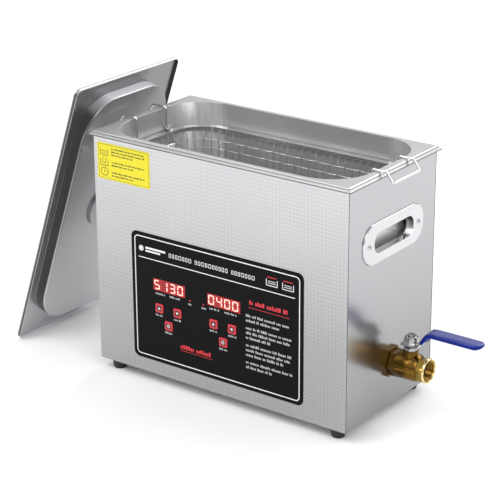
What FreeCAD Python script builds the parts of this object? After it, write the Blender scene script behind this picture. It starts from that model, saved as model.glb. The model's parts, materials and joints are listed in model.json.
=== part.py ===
import FreeCAD, Part
import math
import os
import re
import Sketcher

# Six-litre heated ultrasonic cleaner with its wire basket, its drain valve and its lid.
# Frame: Z = 0 on the bench, X along the casing towards the drain valve, -Y is the control side.
# The casing stands on four rubber feet and the lid leans beside its left end.

Vector = FreeCAD.Vector

DRIVING = {
    # casing
    "casing_x": 10.0, "casing_long": 325.0, "casing_deep": 167.0, "casing_base": 12.0,
    "casing_top": 271.5, "sheet": 0.8, "top_level": 276.0, "flare": 4.5, "foot_x": 146.0,
    "foot_y": 71.0,
    # tank
    "mouth_long": 309.0, "mouth_deep": 158.0, "mouth_corner": 48.0, "ledge_level": 248.5,
    "bath_long": 296.0, "bath_deep": 146.0, "bath_corner": 42.0, "bath_floor": 126.8,
    "bath_round": 12.0, "drain_x": 122.0,
    # side handles
    "grip_level": 203.3, "grip_plate_long": 115.0, "grip_plate_high": 43.6,
    "grip_plate_corner": 20.0, "grip_long": 75.0, "grip_high": 22.4, "grip_corner": 10.0,
    "grip_plate_thick": 1.6, "grip_collar": 7.0, "grip_screw_y": 47.0,
    # control panel
    "overlay_x": -1.6, "overlay_level": 101.0, "overlay_long": 224.0, "overlay_high": 146.5,
    "overlay_corner": 7.0, "overlay_thick": 0.4, "display_level": 118.2, "display_long": 42.9,
    "display_high": 13.4, "key_size": 10.4, "key_hole": 11.0, "key_corner": 2.0,
    "key_proud": 0.9, "board_front": 73.6, "board_level": 92.0,
    # label
    "label_x": -122.0, "label_level": 244.6, "label_long": 71.6, "label_high": 40.6,
    # feet
    "foot_low": 6.9, "foot_top": 8.9, "foot_recess": 4.2, "foot_recess_deep": 5.0, "foot_bolt": 2.0,
    # boards and drive
    "board_long": 150.0, "board_high": 62.0, "board_thick": 1.6, "board_x": -28.0, "floor_spacer": 9.0,
    "stack": 19.0, "stack_bolt": 4.0, "bolt_head": 7.0, "horn_mouth": 29.5, "horn_high": 25.0,
    "piezo_thick": 5.0, "piezo_hole": 7.5, "mass_high": 20.0, "heater_long": 180.0,
    "heater_high": 60.0, "heater_thick": 1.5, "heater_level": 155.0,
    # rear panel
    "fan_x": 92.0, "fan_level": 78.0, "fan_side": 60.0, "fan_deep": 15.0, "fan_hole": 28.0,
    "fan_bolt": 25.0, "fan_screw": 1.8, "guard_wire": 0.9, "inlet_x": -95.0, "inlet_level": 62.0,
    "inlet_wide": 30.0, "inlet_high": 36.0, "inlet_lip": 2.5, "inlet_bolt": 20.0, "fuse_low": 11.0,
    "rocker_x": -95.0, "rocker_level": 106.0, "rocker_wide": 13.0, "rocker_high": 22.0,
    # drain valve
    "valve_level": 63.0, "stem_x": 187.7, "ball": 11.8, "way": 7.0, "outlet_bore": 9.9,
    "outlet_end": 210.0, "stem": 4.0, "pipe": 8.5, "pipe_bend": 22.0, "pipe_end": 152.0,
    "thread": 10.3, "hexagon": 27.0, "barrel": 14.6, "chamber": 12.3, "insert_x": 200.0, "nose": 13.6,
    "nut": 14.0, "lever_thick": 2.5, "lever_low": 24.0, "lever_high": 42.5, "lever_end": 77.0,
    # basket
    "rim_long": 305.0, "rim_deep": 154.0, "rim_corner": 46.0, "rim_wide": 8.0,
    "rim_thick": 1.2, "rim_gap": 0.2, "mesh_long": 284.0, "mesh_deep": 133.0,
    "mesh_corner": 35.0, "mesh_floor": 155.0, "wire": 1.2, "pitch_wide": 10.0,
    "pitch_high": 12.0, "hook_wire": 1.2, "hook_half": 25.5, "pivot_x": 151.3,
    "pivot_rise": 2.3, "hook_top": 277.7, "hook_bend": 168.8, "hook_end": 176.9,
    "hook_low": 267.2, "hook_stub": 7.6, "lug_wide": 3.5, "lug_out": 5.3,
    # lid
    "lid_foot": -292.4, "lid_y": 3.0, "lid_lean": 18.6, "lid_long": 333.0, "lid_deep": 175.0,
    "lid_lip": 4.0, "lid_corner": 8.0, "plug_long": 296.0, "plug_deep": 144.0, "plug_corner": 47.0,
    "plug_drop": 14.0, "dish": 28.0, "dish_drop": 3.0,
}

doc = FreeCAD.newDocument("ultrasonic_cleaner")
dims = doc.addObject("Spreadsheet::Sheet", "dims")
for row, (alias, value) in enumerate(DRIVING.items(), start=1):
    dims.set("A%d" % row, alias)
    dims.set("B%d" % row, str(value))
    dims.setAlias("B%d" % row, alias)
doc.recompute()

nodes = []


def link(text):
    """Point every size name in an expression at its cell in the sheet."""
    def cell(match):
        word = match.group()
        return "dims." + word if word in DRIVING else word
    return re.sub(r"[a-z][a-z_]+", cell, str(text))


def size(text):
    """Value of an expression of sheet sizes, in millimetres or degrees."""
    return float(FreeCAD.Units.Quantity(dims.evalExpression(link(text))).Value)


def bind(thing, **properties):
    for name, text in properties.items():
        thing.setExpression(name.replace("__", "."), link(text))
    return thing


def place(thing, x="0", y="0", z="0", turn=None):
    """Put an object at a bound position, with its X measured from the casing's centre."""
    if turn is not None:
        thing.Placement = FreeCAD.Placement(Vector(0, 0, 0), turn)
    bind(thing, Placement__Base__x="casing_x + (%s)" % x, Placement__Base__y=y, Placement__Base__z=z)
    return thing


def node(thing, label):
    thing.Label = label
    nodes.append(thing)
    return thing


X, Y, Z = Vector(1, 0, 0), Vector(0, 1, 0), Vector(0, 0, 1)
FACING = {
    "up": FreeCAD.Rotation(),
    "front": FreeCAD.Rotation(X, Z, -Y, "ZXY"),
    "rear": FreeCAD.Rotation(-X, Z, Y, "ZXY"),
    "right": FreeCAD.Rotation(Y, Z, X, "ZXY"),
    "left": FreeCAD.Rotation(-Y, Z, -X, "ZXY"),
    "down": FreeCAD.Rotation(X, -Y, -Z, "ZXY"),
}
FRONT = "-casing_deep / 2"
REAR = "casing_deep / 2"
RIGHT = "casing_long / 2"
WALL_HIGH = "casing_top - casing_base"
WALL_MIDDLE = "(casing_top + casing_base) / 2"
CORNERS = ((-1, -1), (1, -1), (1, 1), (-1, 1))
CORNER_SECTORS = 4


# ---- primitives and booleans

def block(name, sizes, centre, level):
    """Box given by its three sizes, its centre in X and Y, and its lowest level."""
    box = doc.addObject("Part::Box", name)
    bind(box, Length=sizes[0], Width=sizes[1], Height=sizes[2])
    place(box, "(%s) - (%s) / 2" % (centre[0], sizes[0]), "(%s) - (%s) / 2" % (centre[1], sizes[1]), level)
    return box


def rod(name, radius, length, start, facing="up"):
    cylinder = doc.addObject("Part::Cylinder", name)
    bind(cylinder, Radius=radius, Height=length)
    return place(cylinder, start[0], start[1], start[2], FACING[facing])


def cone(name, radius1, radius2, length, start, facing="up"):
    thing = doc.addObject("Part::Cone", name)
    bind(thing, Radius1=radius1, Radius2=radius2, Height=length)
    return place(thing, start[0], start[1], start[2], FACING[facing])


def prism(name, across_flats, length, start, facing="up"):
    """Hexagonal prism given across its flats."""
    thing = doc.addObject("Part::Prism", name)
    thing.Polygon = 6
    bind(thing, Circumradius="(%s) / sqrt(3)" % across_flats, Height=length)
    return place(thing, start[0], start[1], start[2], FACING[facing])


def fuse(name, pieces):
    thing = doc.addObject("Part::MultiFuse", name)
    thing.Shapes = pieces
    return thing


def cut(name, base, tools):
    thing = doc.addObject("Part::Cut", name)
    thing.Base = base
    thing.Tool = tools[0] if len(tools) == 1 else fuse(name + "_tools", tools)
    return thing


def group(name, pieces):
    """Identical separate solids kept together as one node."""
    thing = doc.addObject("Part::Compound", name)
    thing.Links = pieces
    return thing


# ---- sketches and bodies

def sketch(body, name, level="0", role="XY_Plane"):
    plane = [item for item in body.Origin.OriginFeatures if item.Role == role][0]
    drawing = body.newObject("Sketcher::SketchObject", name)
    drawing.AttachmentSupport = [(plane, "")]
    drawing.MapMode = "FlatFace"
    bind(drawing, AttachmentOffset__Base__z=level)
    return drawing


def dimension(drawing, kind, reference, text):
    """Add one driving dimension and bind it to the sheet."""
    index = drawing.addConstraint(Sketcher.Constraint(kind, *reference, size(text)))
    drawing.setExpression("Constraints[%d]" % index, link(text))


def circle(drawing, radius, x="0", y="0"):
    geometry = drawing.addGeometry(Part.Circle(Vector(size(x), size(y), 0), Z, size(radius)), False)
    dimension(drawing, "Radius", (geometry,), radius)
    dimension(drawing, "DistanceX", (-1, 1, geometry, 3), x)
    dimension(drawing, "DistanceY", (-1, 1, geometry, 3), y)


def polygon(drawing, points):
    """Closed outline through points whose coordinates are expressions."""
    spots = [Vector(size(x), size(y), 0) for x, y in points]
    count = len(spots)
    lines = [Part.LineSegment(spots[i], spots[(i + 1) % count]) for i in range(count)]
    first = drawing.addGeometry(lines, False)[0]
    for i in range(count):
        drawing.addConstraint(Sketcher.Constraint("Coincident", first + i, 2, first + (i + 1) % count, 1))
    for i, (x, y) in enumerate(points):
        dimension(drawing, "DistanceX", (-1, 1, first + i, 1), x)
        dimension(drawing, "DistanceY", (-1, 1, first + i, 1), y)


def rectangle(drawing, width, height, x="0", y="0"):
    left, right = ("(%s) %s (%s) / 2" % (x, sign, width) for sign in "-+")
    low, high = ("(%s) %s (%s) / 2" % (y, sign, height) for sign in "-+")
    polygon(drawing, [(left, low), (right, low), (right, high), (left, high)])


def rounded(drawing, width, height, radius, x="0", y="0"):
    """Rectangle with four equal round corners."""
    w, h, r, cx, cy = (size(text) for text in (width, height, radius, x, y))
    x0, x1, y0, y1 = cx - w / 2, cx + w / 2, cy - h / 2, cy + h / 2
    line = Part.LineSegment
    sides = [line(Vector(x0 + r, y0), Vector(x1 - r, y0)), line(Vector(x1, y0 + r), Vector(x1, y1 - r)),
             line(Vector(x1 - r, y1), Vector(x0 + r, y1)), line(Vector(x0, y1 - r), Vector(x0, y0 + r))]
    corners = [(x1 - r, y0 + r), (x1 - r, y1 - r), (x0 + r, y1 - r), (x0 + r, y0 + r)]
    arcs = []
    for i, (ax, ay) in enumerate(corners):
        start = (i - 1) * math.pi / 2
        arcs.append(Part.ArcOfCircle(Part.Circle(Vector(ax, ay), Z, r), start, start + math.pi / 2))
    first = drawing.addGeometry(sides + arcs, False)[0]
    for i in range(4):
        arc = first + 4 + i
        drawing.addConstraint(Sketcher.Constraint("Tangent", first + i, 2, arc, 1))
        drawing.addConstraint(Sketcher.Constraint("Tangent", arc, 2, first + (i + 1) % 4, 1))
        drawing.addConstraint(Sketcher.Constraint("Horizontal" if i % 2 == 0 else "Vertical", first + i))
    for i in range(1, 4):
        drawing.addConstraint(Sketcher.Constraint("Equal", first + 4, first + 4 + i))
    dimension(drawing, "Radius", (first + 4,), radius)
    dimension(drawing, "DistanceX", (-1, 1, first + 3, 1), "(%s) - (%s) / 2" % (x, width))
    dimension(drawing, "DistanceX", (-1, 1, first + 1, 1), "(%s) + (%s) / 2" % (x, width))
    dimension(drawing, "DistanceY", (-1, 1, first, 1), "(%s) - (%s) / 2" % (y, height))
    dimension(drawing, "DistanceY", (-1, 1, first + 2, 1), "(%s) + (%s) / 2" % (y, height))


def pad(body, name, outline, length, level="0", down=False, taper="0", role="XY_Plane"):
    """Pad an outline, given as (sketch function, its arguments), from a level of the body."""
    drawing = sketch(body, name + "_sketch", level, role)
    outline[0](drawing, *outline[1:])
    feature = body.newObject("PartDesign::Pad", name)
    feature.Profile = drawing
    feature.Reversed = down
    bind(feature, Length=length, TaperAngle=taper)
    return feature


def pocket(body, name, outlines, length, level="0", upwards=False, taper="0", role="XY_Plane"):
    """Pocket one or more outlines and make sure that the cut removes material."""
    doc.recompute()
    before = body.Shape.Volume
    drawing = sketch(body, name + "_sketch", level, role)
    for outline in outlines:
        outline[0](drawing, *outline[1:])
    feature = body.newObject("PartDesign::Pocket", name)
    feature.Profile = drawing
    feature.Reversed = upwards
    bind(feature, Length=length, TaperAngle=taper)
    doc.recompute()
    if body.Shape.Volume >= before - 1e-3:
        raise ValueError("%s cuts nothing" % name)
    return feature


def new_body(name):
    return doc.addObject("PartDesign::Body", name)


def plate(name, facing, origin, outline, thickness, holes=()):
    """Flat sheet whose inner face is at the origin, drawn as seen from outside."""
    body = new_body(name)
    pad(body, name + "_sheet", outline, thickness)
    if holes:
        pocket(body, name + "_holes", holes, "(%s) + 1" % thickness, "(%s) + 0.5" % thickness)
    return place(body, origin[0], origin[1], origin[2], FACING[facing])


def round_edges(body, name, radius, chosen):
    """Fillet the edges of a body that a test chooses."""
    doc.recompute()
    base = body.Tip
    picked = ["Edge%d" % (i + 1) for i, edge in enumerate(base.Shape.Edges) if chosen(edge)]
    feature = body.newObject("PartDesign::Fillet", name)
    feature.Base = (base, picked)
    bind(feature, Radius=radius)
    return feature


def flat_at(level, tolerance=0.01):
    """Test for edges that lie flat at one level of a body."""
    def chosen(edge):
        box = edge.BoundBox
        return abs(box.ZMin - size(level)) < tolerance and abs(box.ZMax - size(level)) < tolerance
    return chosen


def screw(name, start, facing, head=2.8, head_high=1.8, shank=1.5, shank_long=8):
    """Pan-head screw: head above the start point, shank below it."""
    top = rod(name + "_head", head, head_high, start, facing)
    opposite = {"right": "left", "left": "right", "rear": "front"}[facing]
    shaft = rod(name + "_shank", shank, shank_long, start, opposite)
    return fuse(name, [top, shaft])


# ---- casing

KEY_POSITIONS = {
    "key_temperature_up": ("-76.7", "91.6"), "key_temperature_down": ("-52.1", "91.6"),
    "key_heat": ("-64.4", "73.7"), "key_time_up": ("-3.8", "91.6"),
    "key_time_down": ("20.4", "91.6"), "key_timer": ("8.7", "73.7"),
}
DISPLAY_POSITIONS = ("-63.4", "9.4")


def control_openings(corner):
    """Key and display openings, in the casing's front view."""
    keys = [(rounded, "key_hole", "key_hole", corner, x, z) for x, z in KEY_POSITIONS.values()]
    windows = [(rectangle, "display_long + 0.4", "display_high + 0.4", x, "display_level")
               for x in DISPLAY_POSITIONS]
    return keys + windows


def make_casing():
    broad = (rectangle, "casing_long", WALL_HIGH, "0", WALL_MIDDLE)
    front = plate("front_panel", "front", ("0", FRONT + " + sheet", "0"), broad, "sheet",
                  control_openings("key_corner"))
    node(front, "front_panel")
    rear_holes = [
        (circle, "fan_hole", "-fan_x", "fan_level"),
        (rectangle, "inlet_wide + 0.4", "inlet_high + 0.4", "-inlet_x", "inlet_level"),
        (rectangle, "rocker_wide + 0.4", "rocker_high + 0.4", "-rocker_x", "rocker_level"),
    ]
    for sx in (-1, 1):
        rear_holes.append((circle, "1.6", "-inlet_x + %d * inlet_bolt" % sx, "inlet_level"))
        for sz in (-1, 1):
            rear_holes.append((circle, "fan_screw", "-fan_x + %d * fan_bolt" % sx,
                               "fan_level + %d * fan_bolt" % sz))
    rear = plate("rear_panel", "rear", ("0", REAR + " - sheet", "0"), broad, "sheet", rear_holes)
    node(rear, "rear_panel")
    for facing, sign in (("right", 1), ("left", -1)):
        holes = [(rounded, "grip_long + 3", "grip_high + 3", "grip_corner + 1.5", "0", "grip_level")]
        for side in (-1, 1):
            holes.append((circle, "1.7", "%d * grip_screw_y" % side, "grip_level"))
        if sign > 0:
            holes.append((circle, "10.8", "0", "valve_level"))
        name = "side_panel_" + facing
        narrow = (rectangle, "casing_deep - 2 * sheet - 0.1", WALL_HIGH, "0", WALL_MIDDLE)
        inner = "%d * (casing_long / 2 - sheet)" % sign
        body = plate(name, facing, (inner, "0", "0"), narrow, "sheet", holes)
        node(body, name)
    holes = [(circle, "2.3", "%d * foot_x" % sx, "%d * foot_y" % sy) for sx, sy in CORNERS]
    holes += [(rounded, "60", "4", "1.9", "%d" % x, "%d" % y) for x in (-40, 40) for y in (-20, -8, 4, 16)]
    base = plate("base_plate", "up", ("0", "0", "casing_base"),
                 (rectangle, "casing_long - 2 * sheet - 0.2", "casing_deep - 2 * sheet - 0.2"), "1.0", holes)
    node(base, "base_plate")


def make_feet():
    feet, screws = [], []
    for i, (sx, sy) in enumerate(CORNERS):
        spot = ("%d * foot_x" % sx, "%d * foot_y" % sy)
        outer = cone("foot_%d" % i, "foot_low", "foot_top", "casing_base", spot + ("0",))
        recess = rod("foot_recess_%d" % i, "foot_recess", "foot_recess_deep", spot + ("0",))
        hole = rod("foot_hole_%d" % i, "foot_bolt + 0.2", "casing_base", spot + ("0",))
        feet.append(cut("foot_body_%d" % i, outer, [recess, hole]))
        head = rod("foot_screw_head_%d" % i, "3.8", "2.6", spot + ("2.4",))
        shank = rod("foot_screw_shank_%d" % i, "foot_bolt", "14", spot + ("foot_recess_deep",))
        screws.append(fuse("foot_screw_%d" % i, [head, shank]))
    node(group("rubber_feet", feet), "rubber_feet")
    node(group("foot_screws", screws), "foot_screws")


# ---- tank

def make_tank():
    """Drawn tank: flared flange, upper wall, ledge and bath with a round floor edge."""
    body = new_body("tank")
    pad(body, "flange", (rectangle, "casing_long", "casing_deep"), "flare", "top_level", True, "45")
    pocket(body, "under_flange",
           [(rectangle, "casing_long + 2 * flare - 2.8 * sheet", "casing_deep + 2 * flare - 2.8 * sheet")],
           "flare - sheet", "top_level - flare", True, "-45")
    pad(body, "upper_wall", (rounded, "mouth_long + 2 * sheet", "mouth_deep + 2 * sheet",
                             "mouth_corner + sheet"),
        "top_level - sheet / 2 - ledge_level + sheet", "top_level - sheet / 2", True)
    pad(body, "bath_wall", (rounded, "bath_long + 2 * sheet", "bath_deep + 2 * sheet", "bath_corner + sheet"),
        "ledge_level - sheet / 2 - bath_floor + sheet", "ledge_level - sheet / 2", True)
    pocket(body, "mouth", [(rounded, "mouth_long", "mouth_deep", "mouth_corner")],
           "top_level - ledge_level", "top_level")
    pocket(body, "bath", [(rounded, "bath_long", "bath_deep", "bath_corner")],
           "ledge_level - bath_floor", "ledge_level")
    round_edges(body, "floor_inside", "bath_round", flat_at("bath_floor"))
    round_edges(body, "floor_outside", "bath_round + sheet", flat_at("bath_floor - sheet"))
    pocket(body, "drain", [(circle, "way", "drain_x", "0")], "2 * sheet", "bath_floor + sheet / 2")
    place(body)
    node(body, "tank")


# ---- side handles

def make_handles():
    screws = []
    for facing, sign in (("right", 1), ("left", -1)):
        name = "handle_plate_" + facing
        body = new_body(name)
        pad(body, name + "_bezel", (rounded, "grip_plate_long", "grip_plate_high", "grip_plate_corner",
                                    "0", "grip_level"), "grip_plate_thick")
        round_edges(body, name + "_edge", "1.1", flat_at("grip_plate_thick"))
        pad(body, name + "_collar", (rounded, "grip_long + 2 * sheet", "grip_high + 2 * sheet",
                                     "grip_corner + sheet", "0", "grip_level"),
            "grip_collar + 0.5", "0.5", True)
        holes = [(rounded, "grip_long", "grip_high", "grip_corner", "0", "grip_level")]
        pocket(body, name + "_opening", holes, "grip_collar + grip_plate_thick + 1", "grip_plate_thick + 0.5")
        spots = [(circle, "1.6", "%d * grip_screw_y" % side, "grip_level") for side in (-1, 1)]
        pocket(body, name + "_screw_holes", spots, "grip_plate_thick + 1", "grip_plate_thick + 0.5")
        place(body, "%d * casing_long / 2" % sign, "0", "0", FACING[facing])
        node(body, name)
        for side in (-1, 1):
            start = ("%d * (casing_long / 2 + grip_plate_thick)" % sign, "%d * grip_screw_y" % side,
                     "grip_level")
            screws.append(screw("handle_screw_%s_%d" % (facing, side + 1), start, facing, head_high=1.4))
    node(group("handle_screws", screws), "handle_screws")


# ---- control panel

def make_controls():
    overlay = plate("control_overlay", "front", ("0", FRONT, "0"),
                    (rounded, "overlay_long", "overlay_high", "overlay_corner", "overlay_x", "overlay_level"),
                    "overlay_thick", control_openings("key_corner"))
    node(overlay, "control_overlay")
    for name, (x, z) in KEY_POSITIONS.items():
        # cap through the panel, a retaining flange behind it and a stem to the switch
        body = new_body(name)
        wide = "key_size + 2.4"
        pad(body, name + "_stem", (circle, "2.2"), "4.1", "-5.1")
        pad(body, name + "_flange", (rounded, wide, wide, "key_corner"), "1.2", "-0.15", True)
        pad(body, name + "_cap", (rounded, "key_size", "key_size", "key_corner - 0.3"),
            "sheet + overlay_thick + key_proud + 0.5", "-0.5")
        round_edges(body, name + "_edge", "0.4", flat_at("sheet + overlay_thick + key_proud"))
        place(body, x, FRONT + " + sheet", z, FACING["front"])
        node(body, name)
    switches, displays = [], []
    for i, (x, z) in enumerate(KEY_POSITIONS.values()):
        case = block("tact_case_%d" % i, ("6", "2.6", "6"), (x, "-board_front - 1.3"), z + " - 3")
        plunger = rod("tact_plunger_%d" % i, "1.7", "0.9", (x, "-board_front - 2.5", z), "front")
        switches.append(fuse("tact_switch_%d" % i, [case, plunger]))
    node(group("tact_switches", switches), "tact_switches")
    for i, x in enumerate(DISPLAY_POSITIONS):
        deep = "casing_deep / 2 - board_front + 0.2"
        displays.append(block("display_%d" % i, ("display_long", deep, "display_high"),
                              (x, "-board_front - (%s) / 2" % deep), "display_level - display_high / 2"))
    node(group("led_displays", displays), "led_displays")
    board = block("control_board", ("board_long", "board_thick", "board_high"),
                  ("board_x", "-board_front + board_thick / 2"), "board_level - board_high / 2")
    node(board, "control_board")
    spacers = []
    for i, (sx, sz) in enumerate(CORNERS):
        spacers.append(rod("front_spacer_%d" % i, "3", "casing_deep / 2 - sheet - board_front",
                           ("board_x + %d * 70" % sx, "-board_front", "board_level + %d * 27" % sz), "front"))
        spacers.append(rod("floor_spacer_%d" % i, "3", "floor_spacer",
                           ("-20 + %d * 80" % sx, "20 + %d * 30" % sz, "casing_base + 1")))
    node(group("board_spacers", spacers), "board_spacers")
    label = plate("instruction_label", "front", ("0", FRONT, "0"),
                  (rounded, "label_long", "label_high", "1.5", "label_x", "label_level"), "0.2")
    node(label, "instruction_label")


# ---- ultrasonic drive, heating and electronics

def make_drive():
    horns, rings, masses, bolts = [], [], [], []
    under = "bath_floor - sheet"
    foot = under + " - horn_high - 2 * piezo_thick - mass_high"
    for i, x in enumerate(("-92", "-12", "68")):
        horn = cone("horn_outer_%d" % i, "stack", "horn_mouth", "horn_high", (x, "0", under + " - horn_high"))
        tapped = rod("horn_thread_%d" % i, "stack_bolt + 0.1", "16", (x, "0", under + " - horn_high"))
        horns.append(cut("horn_%d" % i, horn, [tapped]))
        for layer in range(2):
            start = (x, "0", under + " - horn_high - %d * piezo_thick" % (layer + 1))
            disc = rod("ring_disc_%d_%d" % (i, layer), "stack", "piezo_thick", start)
            hole = rod("ring_hole_%d_%d" % (i, layer), "piezo_hole", "piezo_thick", start)
            rings.append(cut("ring_%d_%d" % (i, layer), disc, [hole]))
        mass = rod("mass_outer_%d" % i, "stack", "mass_high", (x, "0", foot))
        bore = rod("mass_bore_%d" % i, "stack_bolt + 0.4", "mass_high", (x, "0", foot))
        masses.append(cut("mass_%d" % i, mass, [bore]))
        shank = rod("bolt_shank_%d" % i, "stack_bolt", "44", (x, "0", foot))
        head = prism("bolt_head_%d" % i, "13", "bolt_head", (x, "0", foot + " - bolt_head"))
        bolts.append(fuse("bolt_%d" % i, [shank, head]))
    node(group("transducer_horns", horns), "transducer_horns")
    node(group("piezo_rings", rings), "piezo_rings")
    node(group("transducer_back_masses", masses), "transducer_back_masses")
    node(group("clamp_bolts", bolts), "clamp_bolts")
    pads = []
    for i, side in enumerate((-1, 1)):
        spot = ("0", "%d * (bath_deep / 2 + sheet + heater_thick / 2)" % side)
        sizes = ("heater_long", "heater_thick", "heater_high")
        pads.append(block("heater_%d" % i, sizes, spot, "heater_level"))
    node(group("heater_pads", pads), "heater_pads")
    sensor = block("sensor_case", ("5", "16", "12"), ("-bath_long / 2 - sheet - 2.5", "0"), "140")
    node(sensor, "temperature_sensor")
    board = block("generator_sheet", ("190", "90", "board_thick"), ("-20", "20"),
                  "casing_base + 1 + floor_spacer")
    node(board, "generator_board")
    top = "casing_base + 1 + floor_spacer + board_thick"
    coil = rod("inductor", "14", "18", ("30", "45", top))
    hole = rod("inductor_hole", "6", "18", ("30", "45", top))
    items = [cut("inductor_ring", coil, [hole]),
             block("transformer", ("34", "28", "26"), ("-80", "40"), top),
             rod("capacitor_large", "9", "26", ("-45", "42", top)),
             rod("capacitor_small", "6", "18", ("-20", "50", top)),
             block("relay", ("18", "14", "15"), ("55", "15"), top)]
    node(group("board_components", items), "board_components")
    body = new_body("heatsink")
    pad(body, "heatsink_base", (rectangle, "80", "30"), "4")
    fins = [(rectangle, "80", "2", "0", "%g" % (-14 + 5.6 * i)) for i in range(6)]
    for i, fin in enumerate(fins):
        pad(body, "heatsink_fin_%d" % i, fin, "20", "3.5")
    place(body, "-40", "-4", top, FACING["up"])
    node(body, "heatsink")


# ---- rear panel fittings

def make_rear():
    inside = REAR + " - sheet"
    body = new_body("fan_frame")
    pad(body, "fan_square", (rounded, "fan_side", "fan_side", "3"), "fan_deep")
    pocket(body, "fan_duct", [(circle, "fan_hole - 0.5")], "fan_deep - 1", "fan_deep + 0.5")
    doc.recompute()
    windows = [(rounded, "12", "12", "3", "%d * 13" % sx, "%d * 13" % sy) for sx in (-1, 1) for sy in (-1, 1)]
    pocket(body, "fan_back", windows, "4", "2")
    spots = [(circle, "fan_screw", "%d * fan_bolt" % sx, "%d * fan_bolt" % sy) for sx, sy in CORNERS]
    pocket(body, "fan_screw_holes", spots, "fan_deep + 1", "fan_deep + 0.5")
    pocket(body, "fan_bearing", [(circle, "2.06")], "3", "2")
    place(body, "fan_x", inside + " - fan_deep", "fan_level", FACING["rear"])
    node(body, "fan_frame")
    hub = rod("fan_hub", "13", "9", ("fan_x", inside + " - 11.5", "fan_level"), "rear")
    shaft = rod("fan_shaft", "2", "4", ("fan_x", inside + " - 14.8", "fan_level"), "rear")
    blades = []
    for i in range(7):
        blade = doc.addObject("Part::Box", "fan_blade_%d" % i)
        bind(blade, Length="14.5", Width="1.2", Height="8")
        turn = FreeCAD.Rotation(Y, 360.0 * i / 7)
        tilt = FreeCAD.Rotation(X, -40)
        offset = turn.multVec(Vector(11.5, -2.5, -3))
        place(blade, "fan_x + %.4f" % offset.x, inside + " - 7 + %.4f" % offset.y,
              "fan_level + %.4f" % offset.z, turn.multiply(tilt))
        blades.append(blade)
    node(fuse("fan_rotor", [hub, shaft] + blades), "fan_rotor")
    pieces = []
    for i, radius in enumerate((9, 15, 21, 27)):
        ring = doc.addObject("Part::Torus", "guard_ring_%d" % i)
        bind(ring, Radius1=str(radius), Radius2="guard_wire")
        pieces.append(place(ring, "fan_x", REAR + " + 2.2", "fan_level", FACING["rear"]))
    for i in range(4):
        arm = rod("guard_arm_%d" % i, "guard_wire", "36", ("fan_x", REAR + " + 0.95", "fan_level"))
        arm.Placement.Rotation = FreeCAD.Rotation(Y, 45 + 90 * i)
        pieces.append(arm)
    eyes, screws = [], []
    for i, (sx, sz) in enumerate(CORNERS):
        across, up = "fan_x + %d * fan_bolt" % sx, "fan_level + %d * fan_bolt" % sz
        pieces.append(rod("guard_eye_%d" % i, "3.4", "2 * guard_wire", (across, REAR, up), "rear"))
        eyes.append(rod("guard_hole_%d" % i, "fan_screw", "4", (across, REAR + " - 1", up), "rear"))
        start = (across, REAR + " + 2 * guard_wire", up)
        screws.append(screw("fan_screw_%d" % i, start, "rear", shank_long=15))
    node(cut("fan_guard", fuse("guard_wires", pieces), eyes), "fan_guard")
    for i, sx in enumerate((-1, 1)):
        start = ("inlet_x + %d * inlet_bolt" % sx, REAR + " + inlet_lip", "inlet_level")
        screws.append(screw("inlet_screw_%d" % i, start, "rear", shank=1.3))
    node(group("rear_screws", screws), "rear_screws")
    body = new_body("power_inlet")
    pad(body, "inlet_flange", (rounded, "50", "40", "5"), "inlet_lip")
    pad(body, "inlet_case", (rectangle, "inlet_wide", "inlet_high"), "25.5", "0.5", True)
    pocket(body, "inlet_socket", [(rounded, "24.6", "16.8", "3", "0", "5.5")], "17", "inlet_lip")
    pocket(body, "fuse_slot", [(rectangle, "24.2", "9.2", "0", "-fuse_low")], "20", "inlet_lip")
    pocket(body, "inlet_screw_holes", 
           [(circle, "1.5", "%d * inlet_bolt" % sx, "0") for sx in (-1, 1)], "4", "3")
    place(body, "inlet_x", REAR, "inlet_level", FACING["rear"])
    node(body, "power_inlet")
    pins = []
    for i, (x, z) in enumerate((("-7", "2"), ("7", "2"), ("0", "6"))):
        middle = ("inlet_x + %s" % x, REAR + " - 11")
        pins.append(block("pin_%d" % i, ("2", "20", "4"), middle, "inlet_level + %s" % z))
    node(group("inlet_pins", pins), "inlet_pins")
    body = new_body("fuse_drawer")
    pad(body, "drawer_box", (rectangle, "23.6", "8.6"), "17.5", "1", True)
    pad(body, "drawer_front", (rounded, "26", "10.4", "1"), "2", "0.3")
    place(body, "inlet_x", REAR + " + inlet_lip", "inlet_level - fuse_low", FACING["rear"])
    node(body, "fuse_drawer")
    body = new_body("switch_housing")
    pad(body, "switch_bezel", (rounded, "16", "25", "1.5"), "1.8")
    pad(body, "switch_case", (rectangle, "rocker_wide", "rocker_high"), "17.5", "0.5", True)
    pocket(body, "switch_well", [(rectangle, "11", "20")], "8", "1.8")
    place(body, "rocker_x", REAR, "rocker_level", FACING["rear"])
    node(body, "switch_housing")
    body = new_body("switch_rocker")
    pad(body, "rocker_face", (polygon, [("2.2", "-8.6"), ("3.9", "-8.4"), ("2.9", "0"), ("3.9", "8.4"),
                                        ("2.2", "8.6"), ("-1.6", "3"), ("-1.6", "-3")]), "10.6", "-5.3")
    tilted = FreeCAD.Rotation(X, 8).multiply(FACING["right"])
    place(body, "rocker_x", REAR + " + 0.2", "rocker_level", tilted)
    node(body, "switch_rocker")


# ---- drain line and valve

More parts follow.
